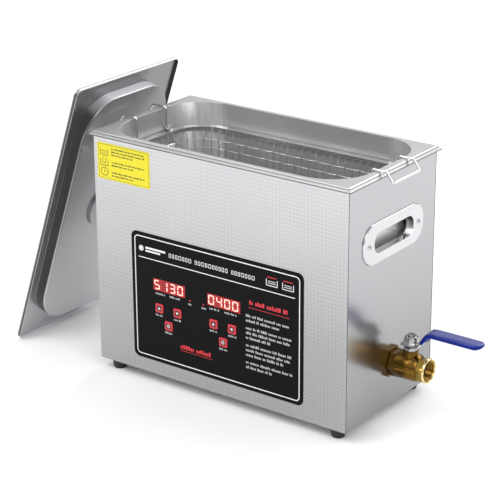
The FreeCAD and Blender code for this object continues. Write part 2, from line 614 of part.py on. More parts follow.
def make_drain():
    """Pipe from the bath floor to the casing's side, its fitting, and the ball valve outside."""
    bend, level = size("pipe_bend"), size("valve_level")
    x = size("casing_x + drain_x")
    top = Vector(x, 0, size("bath_floor - sheet"))
    knee = Vector(x, 0, level + bend)
    middle = Vector(x + bend * (1 - math.cos(math.pi / 4)), 0, level + bend * (1 - math.sin(math.pi / 4)))
    foot = Vector(x + bend, 0, level)
    end = Vector(size("casing_x + pipe_end"), 0, level)
    path = Part.Wire([Part.LineSegment(top, knee).toShape(), Part.Arc(knee, middle, foot).toShape(),
                      Part.LineSegment(foot, end).toShape()])
    outer = path.makePipeShell([Part.Wire([Part.makeCircle(size("pipe"), top, Z)])], True, False)
    inner = path.makePipeShell([Part.Wire([Part.makeCircle(size("way"), top, Z)])], True, False)
    pipe = doc.addObject("Part::Feature", "drain_pipe")
    pipe.Shape = outer.cut(inner)
    node(pipe, "drain_pipe")
    collar = prism("fitting_hex", "hexagon", "6", ("155.7", "0", "valve_level"), "right")
    barrel = rod("fitting_barrel", "thread", "28.5", ("146", "0", "valve_level"), "right")
    seat = rod("fitting_seat", "pipe + 0.05", "7", ("145.5", "0", "valve_level"), "right")
    way = rod("fitting_way", "way", "40", ("145", "0", "valve_level"), "right")
    node(cut("drain_fitting", fuse("fitting_solid", [collar, barrel]), [seat, way]), "drain_fitting")
    nut = prism("locknut_hex", "30", "4.5", (RIGHT, "0", "valve_level"), "right")
    hole = rod("locknut_hole", "thread", "6", (RIGHT + " - 0.5", "0", "valve_level"), "right")
    node(cut("drain_locknut", nut, [hole]), "drain_locknut")
    level = "valve_level"
    inlet = prism("valve_inlet_hex", "26", "9", ("167.3", "0", level), "right")
    barrel = rod("valve_barrel", "barrel", "22", ("175", "0", level), "right")
    shoulder = cone("valve_shoulder", "barrel", "barrel - 2", "3", ("197", "0", level), "right")
    neck = rod("valve_neck", "8", "19", ("stem_x", "0", level))
    solid = fuse("valve_solid", [inlet, barrel, shoulder, neck])
    chamber_start = "stem_x - ball - 0.5"
    tools = [rod("valve_thread", "thread", "7.5", ("167", "0", level), "right"),
             rod("valve_passage", "way", "20", ("167", "0", level), "right"),
             rod("valve_chamber", "chamber", "24.6", (chamber_start, "0", level), "right"),
             rod("valve_stem_bore", "stem + 0.06", "30", ("stem_x", "0", level))]
    node(cut("valve_body", solid, tools), "valve_body")
    end = prism("insert_hex", "hexagon", "9", ("insert_x", "0", level), "right")
    nose = rod("insert_nose", "nose", "outlet_end - insert_x - 8.5", ("insert_x + 8.5", "0", level), "right")
    insert = fuse("insert_solid", [end, nose])
    tools = [rod("insert_thread", "outlet_bore", "20", ("insert_x + 1", "0", level), "right"),
             rod("insert_way", "way", "20", ("195", "0", level), "right")]
    node(cut("valve_insert", insert, tools), "valve_insert")
    sphere = doc.addObject("Part::Sphere", "ball_sphere")
    bind(sphere, Radius="ball")
    place(sphere, "stem_x", "0", level)
    through = rod("ball_way", "way", "30", ("stem_x - 15", "0", level), "right")
    slot = block("ball_slot", ("14", "3.2", "6"), ("stem_x", "0"), level + " + 9.4")
    node(cut("valve_ball", sphere, [through, slot]), "valve_ball")
    rings = []
    for i, start in enumerate((chamber_start, "stem_x + 8.5")):
        ring = rod("seat_disc_%d" % i, "chamber - 0.05", "3.8", (start, "0", level), "right")
        hollow = doc.addObject("Part::Sphere", "seat_hollow_%d" % i)
        bind(hollow, Radius="ball + 0.05")
        place(hollow, "stem_x", "0", level)
        hole = rod("seat_hole_%d" % i, "way", "30", ("stem_x - 15", "0", level), "right")
        rings.append(cut("seat_ring_%d" % i, ring, [hollow, hole]))
    node(group("seat_rings", rings), "seat_rings")
    shaft = rod("stem_shaft", "stem", "24.1", ("stem_x", "0", level + " + 11.9"))
    tongue = block("stem_tongue", ("6", "3", "3"), ("stem_x", "0"), level + " + 9.6")
    node(fuse("valve_stem", [shaft, tongue]), "valve_stem")
    nut = prism("packing_hex", "nut", "3.6", ("stem_x", "0", level + " + 19"))
    hole = rod("packing_hole", "stem + 0.06", "5", ("stem_x", "0", level + " + 18.5"))
    node(cut("packing_nut", nut, [hole]), "packing_nut")
    make_lever(level)


def make_lever(level):
    """Cranked steel strip drawn in side view, with a dipped sleeve over its raised end."""
    body = new_body("lever")
    thick, low, high = "lever_thick", "lever_low", "lever_high"
    outline = [("-9", low), ("10", low), ("23", high), ("lever_end", high),
               ("lever_end", high + " + " + thick),
               ("22", high + " + " + thick), ("9", low + " + " + thick), ("-9", low + " + " + thick)]
    pad(body, "lever_strip", (polygon, outline), "nut", "-nut / 2", False, "0", "XZ_Plane")
    pocket(body, "lever_hole", [(circle, "stem + 0.02")], "6", low + " + 4")
    place(body, "stem_x", "0", level)
    node(body, "lever")
    nut = prism("lever_nut_hex", "nut", "8", ("stem_x", "0", level + " + lever_low + lever_thick"))
    hole = rod("lever_nut_hole", "stem", "9", ("stem_x", "0", level + " + lever_low + 2"))
    node(cut("lever_nut", nut, [hole]), "lever_nut")
    body = new_body("lever_sleeve")
    pad(body, "sleeve_outer", (rounded, "54.6", "18", "6", "56.7", "0"), "6.4", high + " - 2.6")
    round_edges(body, "sleeve_top", "1.8", flat_at(high + " + 3.8"))
    slot = (rectangle, "49.1", "14.1", "52.85", "0")
    pocket(body, "sleeve_slot", [slot], thick + " + 0.1", high + " - 0.05", True)
    pocket(body, "sleeve_under", [(rounded, "51", "14", "4", "54.7", "0")], "1.6", high + " - 2.7", True)
    place(body, "stem_x", "0", level)
    node(body, "lever_sleeve")


# ---- basket

def grille(outline, holes, direction):
    """Flat welded mesh: an outline face with its openings, given thickness."""
    face = Part.makeFace([outline] + holes, "Part::FaceMakerBullseye")
    return face.extrude(direction)


def window(corner, along, up, width, height):
    points = [corner, corner + along * width, corner + along * width + up * height, corner + up * height]
    return Part.makePolygon(points + [corner])


def mesh_panel(start, along, up, width, height, thickness):
    """Flat mesh panel with whole openings at the basket's pitch."""
    wire = size("wire")
    across = max(1, round(width / size("pitch_wide")))
    rows = max(1, round(height / size("pitch_high")))
    step_a, step_u = (width - wire) / across, (height - wire) / rows
    holes = []
    for i in range(across):
        for j in range(rows):
            corner = start + along * (wire + i * step_a) + up * (wire + j * step_u)
            holes.append(window(corner, along, up, step_a - wire, step_u - wire))
    return grille(window(start, along, up, width, height), holes, thickness)


def make_basket():
    rim = new_body("basket_rim")
    low = "ledge_level + rim_gap"
    hole_long, hole_deep = "rim_long - 2 * rim_wide", "rim_deep - 2 * rim_wide"
    inside = (rounded, hole_long, hole_deep, "rim_corner - rim_wide")
    pad(rim, "rim_strip", (rounded, "rim_long", "rim_deep", "rim_corner"), "rim_thick", low)
    pocket(rim, "rim_opening", [inside], "rim_thick + 1", low + " + rim_thick + 0.5")
    pad(rim, "rim_skirt", (rounded, hole_long + " + 2 * sheet", hole_deep + " + 2 * sheet",
                           "rim_corner - rim_wide + sheet"), "3.5", low + " + 0.4", True)
    pocket(rim, "rim_skirt_inside", [inside], "6", low + " + 1")
    # two pivot lugs at each end hold the hook handles
    lug_spots = []
    for sx in (-1, 1):
        for sy in (-1, 1):
            lug_spots.append((rectangle, "4.6", "lug_wide", "%d * pivot_x" % sx,
                              "%d * (hook_half + lug_out)" % sy))
    for i, spot in enumerate(lug_spots):
        pad(rim, "lug_%d" % i, spot, "4.6", low + " + rim_thick - 0.2")
    pivot = low + " + rim_thick + pivot_rise"
    holes = [(circle, "hook_wire + 0.06", "%d * pivot_x" % sx, pivot) for sx in (-1, 1)]
    pocket(rim, "lug_bores_front", holes, "12", "-hook_half + 2", False, "0", "XZ_Plane")
    pocket(rim, "lug_bores_rear", holes, "12", "hook_half + 10", False, "0", "XZ_Plane")
    place(rim)
    node(rim, "basket_rim")
    make_basket_mesh()
    make_hooks()


def make_basket_mesh():
    wire = size("wire")
    centre = size("casing_x")
    half_long, half_deep = size("mesh_long") / 2, size("mesh_deep") / 2
    corner = size("mesh_corner")
    floor = size("mesh_floor")
    high = size("ledge_level + rim_gap") - 3.2 - floor
    walls = []
    for sign in (-1, 1):
        start = Vector(centre - half_long + corner, sign * half_deep, floor)
        walls.append(mesh_panel(start, X, Z, 2 * (half_long - corner), high, Y * (-sign * wire)))
        start = Vector(centre + sign * half_long, -half_deep + corner, floor)
        walls.append(mesh_panel(start, Y, Z, 2 * (half_deep - corner), high, X * (-sign * wire)))
    rows = round(high / size("pitch_high"))
    step = (high - wire) / rows
    for sx in (-1, 1):
        for sy in (-1, 1):
            axis = Vector(centre + sx * (half_long - corner), sy * (half_deep - corner), floor)
            walls += corner_band(axis, sx, sy, corner, high, rows, step, wire)
    mesh = doc.addObject("Part::Feature", "basket_wall_mesh")
    mesh.Shape = Part.makeCompound(walls)
    node(mesh, "basket_wall_mesh")
    inset = 0.4
    along, deep = 2 * (half_long - wire - inset), 2 * (half_deep - wire - inset)
    start = Vector(centre - along / 2, -deep / 2, floor)
    sheet = mesh_panel(start, X, Y, along, deep, Z * wire)
    keep = Part.makeBox(along, deep, wire * 3, start - Z * wire)
    round_off = corner - wire - inset
    keep = keep.makeFillet(round_off, [e for e in keep.Edges if abs(e.tangentAt(e.FirstParameter).z) > 0.9])
    floor_mesh = doc.addObject("Part::Feature", "basket_floor_mesh")
    floor_mesh.Shape = sheet.common(keep)
    node(floor_mesh, "basket_floor_mesh")


def corner_band(axis, sx, sy, radius, high, rows, step, wire):
    """Quarter-round mesh corner in sectors, each of hoops joined by two upright wires."""
    turn = {(1, 1): 0, (-1, 1): 90, (-1, -1): 180, (1, -1): 270}[(sx, sy)]
    sector = 90 / CORNER_SECTORS
    bands = []
    for begin in [turn + k * sector for k in range(CORNER_SECTORS)]:
        pieces = []
        for level in [i * step for i in range(rows + 1)]:
            foot = axis + Z * level
            hoop = Part.makeCylinder(radius, wire, foot, Z, sector)
            hoop = hoop.cut(Part.makeCylinder(radius - wire, wire, foot, Z, sector))
            hoop.rotate(axis, Z, begin)
            pieces.append(hoop)
        for share in (0.25, 0.75):
            degrees = begin + share * sector
            angle = math.radians(degrees)
            post = Part.makeBox(wire, wire, high, Vector(-wire, -wire / 2, 0))
            post.rotate(Vector(0, 0, 0), Z, degrees)
            post.translate(axis + Vector(math.cos(angle), math.sin(angle), 0) * radius)
            pieces.append(post)
        bands.append(pieces[0].multiFuse(pieces[1:]).removeSplitter())
    return bands


def make_hooks():
    """Bent wire handles: pivot stubs, legs up the tank wall, and a hook over the flange."""
    radius = size("hook_wire")
    half = size("hook_half")
    pivot = size("ledge_level + rim_gap + rim_thick + pivot_rise")
    for side, sign in (("right", 1), ("left", -1)):
        def spot(x_name, y, z):
            return Vector(size("casing_x") + sign * size(x_name), y, z)
        corners = [spot("pivot_x", -half - size("hook_stub"), pivot), spot("pivot_x", -half, pivot),
                   spot("pivot_x", -half, size("hook_top")), spot("hook_bend", -half, size("hook_top")),
                   spot("hook_end", -half, size("hook_low"))]
        corners += [Vector(p.x, -p.y, p.z) for p in reversed(corners)]
        path = rounded_path(corners, 3.0)
        profile = Part.Wire([Part.makeCircle(radius, corners[0], Y)])
        hook = doc.addObject("Part::Feature", "basket_handle_" + side)
        hook.Shape = path.makePipeShell([profile], True, False)
        node(hook, "basket_handle_" + side)


def rounded_path(corners, radius):
    """Wire of straight runs joined by tangent arcs."""
    edges = []
    start = corners[0]
    for before, corner, after in zip(corners, corners[1:], corners[2:]):
        back = (before - corner).normalize()
        ahead = (after - corner).normalize()
        half_turn = back.getAngle(ahead) / 2
        reach = radius / math.tan(half_turn)
        arc_in, arc_out = corner + back * reach, corner + ahead * reach
        bisector = (back + ahead).normalize()
        arc_mid = corner + bisector * (radius / math.sin(half_turn) - radius)
        edges.append(Part.LineSegment(start, arc_in).toShape())
        edges.append(Part.Arc(arc_in, arc_mid, arc_out).toShape())
        start = arc_out
    edges.append(Part.LineSegment(start, corners[-1]).toShape())
    return Part.Wire(edges)


# ---- lid

def make_lid():
    """Lid drawn as it lies on the tank, then stood on its end and leant towards the casing."""
    body = new_body("lid_shell")
    pad(body, "lid_flange", (rounded, "lid_long", "lid_deep", "lid_corner"), "lid_lip", "0", True)
    under = (rounded, "lid_long - 2 * sheet", "lid_deep - 2 * sheet", "lid_corner - sheet")
    pocket(body, "lid_under", [under], "lid_lip - sheet", "-lid_lip", True)
    pad(body, "lid_plug", (rounded, "plug_long", "plug_deep", "plug_corner"), "plug_drop", "0", True)
    pan = (rounded, "plug_long - 2 * sheet", "plug_deep - 2 * sheet", "plug_corner - sheet")
    pocket(body, "lid_pan", [pan], "plug_drop - sheet")
    round_edges(body, "pan_edge", "1.4", flat_at("-plug_drop + sheet"))
    round_edges(body, "plug_edge", "2", flat_at("-plug_drop"))
    pad(body, "dish_outer", (circle, "dish"), "dish_drop + sheet / 2", "-plug_drop + sheet / 2", True)
    pocket(body, "dish_inner", [(circle, "dish - sheet")], "dish_drop", "-plug_drop + sheet")
    stand(body)
    node(body, "lid_shell")
    handle = new_body("lid_handle")
    low = "-plug_drop + sheet - dish_drop"
    pad(handle, "handle_foot_a", (rounded, "14", "14", "4", "0", "-18"), "16", low)
    pad(handle, "handle_foot_b", (rounded, "14", "14", "4", "0", "18"), "16", low)
    pad(handle, "handle_bar", (rounded, "16", "50", "7.5"), "8", low + " + 15")
    round_edges(handle, "handle_soft", "2.5", flat_at(low + " + 23"))
    stand(handle)
    node(handle, "lid_handle")


def stand(body):
    """Stand a piece of the lid on its short end, leaning towards the casing."""
    lean = size("lid_lean")
    body.Placement = FreeCAD.Placement(Vector(0, 0, 0), FreeCAD.Rotation(Y, lean - 90))
    rise = "lid_lip * sin(lid_lean)"
    middle = "(%s) * tan(lid_lean) + lid_long / 2 * sin(lid_lean)" % rise
    bind(body, Placement__Base__x="casing_x + lid_foot + " + middle,
         Placement__Base__y="lid_y", Placement__Base__z=rise + " + lid_long / 2 * cos(lid_lean)")


# ---- build, check and write

make_casing()
make_feet()
make_tank()
make_handles()
make_controls()
make_drive()
make_rear()
make_drain()
make_basket()
make_lid()
doc.recompute()

for item in doc.Objects:
    if {"Invalid", "Error"} & set(item.State):
        raise ValueError("%s failed: %s" % (item.Name, item.State))
os.makedirs("parts", exist_ok=True)
for item in nodes:
    if item.Shape.isNull() or not item.Shape.isValid():
        raise ValueError("%s has no valid shape" % item.Label)
    item.Shape.exportStep("parts/%s.step" % item.Label)
print("%d nodes written" % len(nodes))
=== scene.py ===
import json
import math
import random

import bmesh
import bpy
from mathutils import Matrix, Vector


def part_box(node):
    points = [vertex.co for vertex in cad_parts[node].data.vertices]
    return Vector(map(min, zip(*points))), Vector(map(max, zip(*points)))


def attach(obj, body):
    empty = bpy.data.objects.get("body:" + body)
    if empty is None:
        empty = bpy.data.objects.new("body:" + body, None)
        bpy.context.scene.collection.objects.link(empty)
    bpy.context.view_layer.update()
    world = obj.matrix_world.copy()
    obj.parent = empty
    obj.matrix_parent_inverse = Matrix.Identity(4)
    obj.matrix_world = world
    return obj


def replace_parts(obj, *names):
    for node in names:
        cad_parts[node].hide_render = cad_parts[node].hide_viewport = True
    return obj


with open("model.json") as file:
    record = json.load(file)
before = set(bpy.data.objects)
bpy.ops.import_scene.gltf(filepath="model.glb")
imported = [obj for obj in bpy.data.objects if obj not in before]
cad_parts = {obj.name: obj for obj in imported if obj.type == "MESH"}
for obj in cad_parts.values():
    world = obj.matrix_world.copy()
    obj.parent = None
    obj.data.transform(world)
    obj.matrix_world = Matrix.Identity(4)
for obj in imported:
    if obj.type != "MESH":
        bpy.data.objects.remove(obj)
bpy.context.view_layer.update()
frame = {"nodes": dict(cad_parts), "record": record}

# Heated ultrasonic cleaner: printed panel, lit displays, woven basket, valve and studio,
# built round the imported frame. Lengths are metres unless a name ends in _mm.

MM = 0.001
scene = bpy.context.scene
dice = random.Random(7)


def middle(node):
    low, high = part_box(node)
    return (low + high) / 2


# ---- camera, light and floor

CAMERA_TARGET = Vector((0.02155, 0.0, 0.19377))
CAMERA_AZIMUTH, CAMERA_ELEVATION = math.radians(35.502), math.radians(19.904)
CAMERA_DISTANCE = 1.85624
CAMERA_LENS_MM = 125.67
CAMERA_SHIFT = (-0.0439, -0.0732)

SKY_HORIZON, SKY_TOP, SKY_STRENGTH = (0.34, 0.34, 0.35), (0.92, 0.93, 0.94), 0.95
SKY_SPAN = (0.02, 0.40)
LIGHT_AIM = (0.0, 0.0, 0.15)
# name, place, width, height and power of each lamp
STUDIO_LAMPS = (("key_light", (-0.9, -1.7, 2.3), 1.6, 1.6, 34.0),
                ("right_light", (2.3, -0.9, 1.6), 1.2, 1.4, 20.0),
                ("back_light", (0.5, 2.2, 2.0), 3.0, 1.2, 40.0))
WELL_POWER = 0.13
FLOOR_REACH = 6.0


def make_camera():
    data = bpy.data.cameras.new("camera")
    data.lens = CAMERA_LENS_MM
    data.sensor_width = 36.0
    data.shift_x, data.shift_y = CAMERA_SHIFT
    camera = bpy.data.objects.new("camera", data)
    scene.collection.objects.link(camera)
    flat = math.cos(CAMERA_ELEVATION)
    back = Vector((math.sin(CAMERA_AZIMUTH) * flat, -math.cos(CAMERA_AZIMUTH) * flat,
                   math.sin(CAMERA_ELEVATION)))
    camera.location = CAMERA_TARGET + back * CAMERA_DISTANCE
    camera.rotation_mode = "QUATERNION"
    camera.rotation_quaternion = (-back).to_track_quat("-Z", "Y")
    scene.camera = camera


def soft_light(name, place, target, wide, high, power):
    data = bpy.data.lights.new(name, "AREA")
    data.shape = "RECTANGLE"
    data.size, data.size_y = wide, high
    data.energy = power
    lamp = bpy.data.objects.new(name, data)
    lamp.location = place
    lamp.rotation_mode = "QUATERNION"
    lamp.rotation_quaternion = (Vector(target) - Vector(place)).to_track_quat("-Z", "Y")
    scene.collection.objects.link(lamp)


def light_handle_wells():
    """Strip lamps inside the casing, above each grip hole, that show the tank wall behind it."""
    for side, sign in (("right", 1), ("left", -1)):
        low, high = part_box("handle_plate_" + side)
        inner = low.x if sign > 0 else high.x
        place = Vector((inner - sign * 5 * MM, (low.y + high.y) / 2, high.z + 8 * MM))
        target = place - Vector((sign * 6 * MM, 0, 20 * MM))
        soft_light("handle_well_" + side, place, target, 90 * MM, 6 * MM, WELL_POWER)


def make_studio():
    world = bpy.data.worlds.new("studio")
    world.use_nodes = True
    tree = world.node_tree
    background = tree.nodes["Background"]
    place = tree.nodes.new("ShaderNodeTexCoord")
    split = tree.nodes.new("ShaderNodeSeparateXYZ")
    ramp = tree.nodes.new("ShaderNodeValToRGB")
    ramp.color_ramp.elements[0].position, ramp.color_ramp.elements[1].position = SKY_SPAN
    ramp.color_ramp.elements[0].color = (*SKY_HORIZON, 1.0)
    ramp.color_ramp.elements[1].color = (*SKY_TOP, 1.0)
    tree.links.new(place.outputs["Generated"], split.inputs["Vector"])
    tree.links.new(split.outputs["Z"], ramp.inputs["Fac"])
    tree.links.new(ramp.outputs["Color"], background.inputs["Color"])
    background.inputs["Strength"].default_value = SKY_STRENGTH
    scene.world = world
    scene.view_settings.view_transform = "Standard"
    scene.view_settings.exposure = 0.0
    for name, spot, wide, high, power in STUDIO_LAMPS:
        soft_light(name, spot, LIGHT_AIM, wide, high, power)
    light_handle_wells()
    floor_mesh = bpy.data.meshes.new("floor")
    corners = [(sx * FLOOR_REACH, sy * FLOOR_REACH, 0) for sx, sy in ((-1, -1), (1, -1), (1, 1), (-1, 1))]
    floor_mesh.from_pydata(corners, [], [(0, 1, 2, 3)])
    floor = bpy.data.objects.new("floor", floor_mesh)
    scene.collection.objects.link(floor)
    floor_mesh.materials.append(plastic("floor_paper", (0.93, 0.93, 0.93), 0.7, spread=0.01, scale=6.0))


# ---- materials

class Tree:
    """Node tree of one material with short calls for the nodes that the finishes share."""

    def __init__(self, name, colour, rough, metal):
        self.material = bpy.data.materials.new(name)
        self.material.use_nodes = True
        self.tree = self.material.node_tree
        self.shader = self.tree.nodes["Principled BSDF"]
        self.shader.inputs["Base Color"].default_value = (*colour, 1.0)
        self.shader.inputs["Roughness"].default_value = rough
        self.shader.inputs["Metallic"].default_value = metal
        self.place = self.node("ShaderNodeTexCoord").outputs["Object"]

    def node(self, kind, **settings):
        made = self.tree.nodes.new(kind)
        for key, value in settings.items():
            setattr(made, key, value)
        return made

    def link(self, source, target):
        self.tree.links.new(source, target)

    def axes(self):
        """X, Y and Z of the object's own coordinates."""
        split = self.node("ShaderNodeSeparateXYZ")
        self.link(self.place, split.inputs["Vector"])
        return split.outputs

    def stretched(self, stretch):
        mapping = self.node("ShaderNodeMapping")
        mapping.inputs["Scale"].default_value = stretch
        self.link(self.place, mapping.inputs["Vector"])
        return mapping.outputs["Vector"]

    def noise(self, scale, stretch=(1, 1, 1), detail=4.0):
        noise = self.node("ShaderNodeTexNoise")
        noise.inputs["Scale"].default_value = scale
        noise.inputs["Detail"].default_value = detail
        self.link(self.stretched(stretch), noise.inputs["Vector"])
        return noise.outputs["Fac"]

    def between(self, fac, low, high, start=0.3, end=0.7):
        """Number that runs from low to high as fac goes from start to end."""
        spread = self.node("ShaderNodeMapRange")
        for key, value in (("From Min", start), ("From Max", end), ("To Min", low), ("To Max", high)):
            spread.inputs[key].default_value = value
        self.link(fac, spread.inputs["Value"])
        return spread.outputs["Result"]

    def dot(self, vector, direction):
        """Dot product of a vector socket and a fixed direction."""
        product = self.node("ShaderNodeVectorMath", operation="DOT_PRODUCT")
        self.link(vector, product.inputs[0])
        product.inputs[1].default_value = direction
        return product.outputs["Value"]

    def ramp(self, fac, stops):
        """Colour read from stops of (position, colour)."""
        ramp = self.node("ShaderNodeValToRGB")
        elements = ramp.color_ramp.elements
        for position, _ in stops[1:-1]:
            elements.new(position)
        for element, (position, colour) in zip(elements, stops):
            element.position = position
            element.color = (*colour, 1.0)
        self.link(fac, ramp.inputs["Fac"])
        return ramp.outputs["Color"]

    def tint(self, fac, first, second, start=0.3, end=0.7):
        self.link(self.ramp(fac, ((start, first), (end, second))), self.shader.inputs["Base Color"])

    def rough(self, fac, low, high):
        self.link(self.between(fac, low, high), self.shader.inputs["Roughness"])

    def bump(self, height, strength, distance):
        bump = self.node("ShaderNodeBump")
        bump.inputs["Strength"].default_value = strength
        bump.inputs["Distance"].default_value = distance
        self.link(height, bump.inputs["Height"])
        self.link(bump.outputs["Normal"], self.shader.inputs["Normal"])

    def math(self, operation, first, second=None):
        made = self.node("ShaderNodeMath", operation=operation)
        for socket, value in zip(made.inputs, (first, second)):
            if isinstance(value, (int, float)):
                socket.default_value = value
            elif value is not None:
                self.link(value, socket)
        return made.outputs["Value"]


def shade(colour, factor):
    return tuple(min(1.0, c * factor) for c in colour)


# lean of the standing lid, width of the tank's lip, and the light and shade painted up the lip's outside as
# (share of its height, brightness)
LID_LEAN_DEG = 18.6
LIP_WIDE = 4.2 * MM
LIP_PAINTED_LIGHT = ((0.0, 0.10), (0.16, 0.16), (0.24, 0.72), (0.58, 0.62), (0.66, 0.24), (0.76, 0.30), (0.86, 1.0))


def steel(name, colour, rough, grain=(1, 1, 1), grain_scale=900.0, spread=0.06, bump=0.05):
    """Stainless sheet with rolling grain, faint clouding and slightly uneven gloss."""
    tree = Tree(name, colour, rough, 1.0)
    cloud = tree.noise(14.0, detail=3.0)
    tree.tint(cloud, shade(colour, 1 - spread), shade(colour, 1 + spread))
    scratch = tree.noise(grain_scale, grain, detail=2.0)
    tree.rough(scratch, rough * 0.82, rough * 1.2)
    tree.bump(scratch, bump, 0.0002)
    return tree.material


def linen_steel_with_painted_shade(name, colour, rough, across, pitch=4.3 * MM):
    """Sheet rolled with a linen pattern: small squares at a regular pitch, between fine grooves, painted
    darker towards the bottom and in the grooves as shade.
    """
    tree = Tree(name, colour, rough, 1.0)
    axes = tree.axes()
    waves = []
    for axis in (across, "Z"):
        turned = tree.math("MULTIPLY", axes[axis], math.pi / pitch)
        waves.append(tree.math("ABSOLUTE", tree.math("SINE", turned)))
    fine = tree.between(tree.math("MINIMUM", *waves), -1.0, 1.0, 0.05, 0.75)
    grain = tree.noise(1400.0, detail=2.0)
    height = tree.math("ADD", fine, tree.math("MULTIPLY", grain, 0.4))
    tree.bump(height, 0.35, 0.00012)
    # painted shade: the colour darkens towards the bottom of the panel and in the grooves between the squares
    painted_shading = tree.between(axes["Z"], -0.42, 0.42, 0.10, 0.27)
    painted_shading = tree.math("ADD", painted_shading, tree.math("MULTIPLY", fine, 0.16))
    tree.tint(tree.math("ADD", painted_shading, 0.5), shade(colour, 0.72), shade(colour, 1.16), 0.0, 1.0)
    tree.rough(tree.noise(18.0), rough * 0.9, rough * 1.12)
    return tree.material


def lid_steel_with_painted_light(name, colour, rough):
    """Drawn lid with painted light: its plate is painted paler towards its foot, and the walls of its dish are
    painted dark where they face the front and bright elsewhere.
    """
    tree = Tree(name, colour, rough, 0.8)
    tip = next(joint for joint in frame["record"]["behaviour"]["joints"] if joint["name"] == "lid_tip")
    foot = Vector(tip["pos_m"])
    lean = math.radians(LID_LEAN_DEG)
    inward, upward = Vector((math.cos(lean), 0, -math.sin(lean))), Vector((math.sin(lean), 0, math.cos(lean)))
    depth = tree.math("SUBTRACT", tree.dot(tree.place, inward), foot.dot(inward))
    along = tree.math("SUBTRACT", tree.dot(tree.place, upward), foot.dot(upward))
    facing = tree.node("ShaderNodeTexCoord").outputs["Normal"]
    # painted light on the plate: paler towards its foot, darker further up
    plate = tree.between(along, 1.45, 0.60, 0.04, 0.27)
    # painted light on the dish walls: dark where a wall faces the front, bright elsewhere
    wall = tree.between(tree.dot(facing, (0, -1, 0)), 2.0, 0.16, 0.15, 0.75)
    entering = tree.between(depth, 0.0, 1.0, 0.9 * MM, 1.2 * MM)
    leaving = tree.between(depth, 1.0, 0.0, 12.4 * MM, 13.2 * MM)
    share = tree.math("MULTIPLY", entering, leaving)
    painted_shading = tree.math("ADD", tree.math("MULTIPLY", wall, share),
                     tree.math("MULTIPLY", plate, tree.math("SUBTRACT", 1.0, share)))
    tree.link(tree.between(share, 0.8, 0.25, 0.0, 1.0), tree.shader.inputs["Metallic"])
    cloud = tree.between(tree.noise(9.0, detail=2.0), 0.96, 1.04)
    painted_shading = tree.math("MULTIPLY", painted_shading, cloud)
    tree.tint(tree.math("MULTIPLY", painted_shading, 0.5), (0.0, 0.0, 0.0), shade(colour, 2.0), 0.0, 1.0)
    grain = tree.noise(1300.0, detail=1.0)
    tree.rough(grain, rough * 0.95, rough * 1.05)
    tree.bump(grain, 0.008, 0.0001)
    return tree.material


def tank_steel_with_painted_lip(name, colour, rough):
    """Drawn tank: bright inside; its rolled lip is painted outside in lit and shaded stripes, up its height.
    """
    tree = Tree(name, colour, rough, 0.62)
    low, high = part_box("tank")
    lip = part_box("front_panel")[1].z
    axes = tree.axes()
    reach = []
    for axis, centre, half in (("X", (low.x + high.x) / 2, (high.x - low.x) / 2 - LIP_WIDE),
                               ("Y", (low.y + high.y) / 2, (high.y - low.y) / 2 - LIP_WIDE)):
        away = tree.math("ABSOLUTE", tree.math("SUBTRACT", axes[axis], centre))
        reach.append(tree.math("SUBTRACT", away, half))
    outside = tree.math("GREATER_THAN", tree.math("MAXIMUM", *reach), 0.0)
    # painted light and shade on the lip's outside: dark at the shadow gap over the casing and at the bend, lit
    # between and at the top
    height = tree.between(axes["Z"], 0.0, 1.0, lip, high.z)
    painted_lip_light = tree.ramp(height, [(position, (painted_shading, painted_shading, painted_shading)) for position, painted_shading in LIP_PAINTED_LIGHT])
    cloud = tree.between(tree.noise(14.0, detail=3.0), 0.96, 1.04)
    painted_shading = tree.math("ADD", tree.math("MULTIPLY", painted_lip_light, outside), tree.math("SUBTRACT", 1.0, outside))
    tree.tint(tree.math("MULTIPLY", tree.math("MULTIPLY", painted_shading, cloud), 0.5), (0.0, 0.0, 0.0),
              shade(colour, 2.0), 0.0, 1.0)
    grain = tree.noise(1100.0, (0.2, 0.2, 1), 2.0)
    tree.rough(grain, rough * 0.85, rough * 1.15)
    tree.bump(grain, 0.03, 0.0002)
    return tree.material


def vinyl_with_painted_sheen(name, colour, rough):
    """Glossy vinyl with a painted sheen: faces that point up reflect fully, and those on the sides hardly at
    all.
    """
    tree = Tree(name, colour, rough, 0.0)
    mottle = tree.noise(260.0)
    tree.tint(mottle, shade(colour, 0.84), shade(colour, 1.16))
    facing = tree.node("ShaderNodeTexCoord").outputs["Normal"]
    # painted sheen: reflection strength set by which way each face points, full on top, low on the sides
    painted_sheen = tree.between(tree.dot(facing, (0, 0, 1)), 0.12, 1.0, 0.55, 0.92)
    tree.link(painted_sheen, tree.shader.inputs["Specular IOR Level"])
    tree.rough(tree.noise(37.0), rough * 0.88, rough * 1.12)
    tree.bump(mottle, 0.04, 0.0002)
    return tree.material


def side_steel_with_painted_shade(name, colour, rough):
    """Smooth satin sheet with a fine upright grain, painted a little darker towards the bench as shade."""
    tree = Tree(name, colour, rough, 1.0)
    axes = tree.axes()
    # painted shade: the colour darkens towards the bench
    painted_shading = tree.between(axes["Z"], 0.0, 1.0, 0.02, 0.24)
    tree.tint(painted_shading, shade(colour, 0.78), shade(colour, 1.05), 0.0, 1.0)
    grain = tree.noise(1500.0, (1, 1, 0.05), detail=2.0)
    tree.rough(grain, rough * 0.92, rough * 1.1)
    tree.bump(grain, 0.03, 0.0001)
    return tree.material


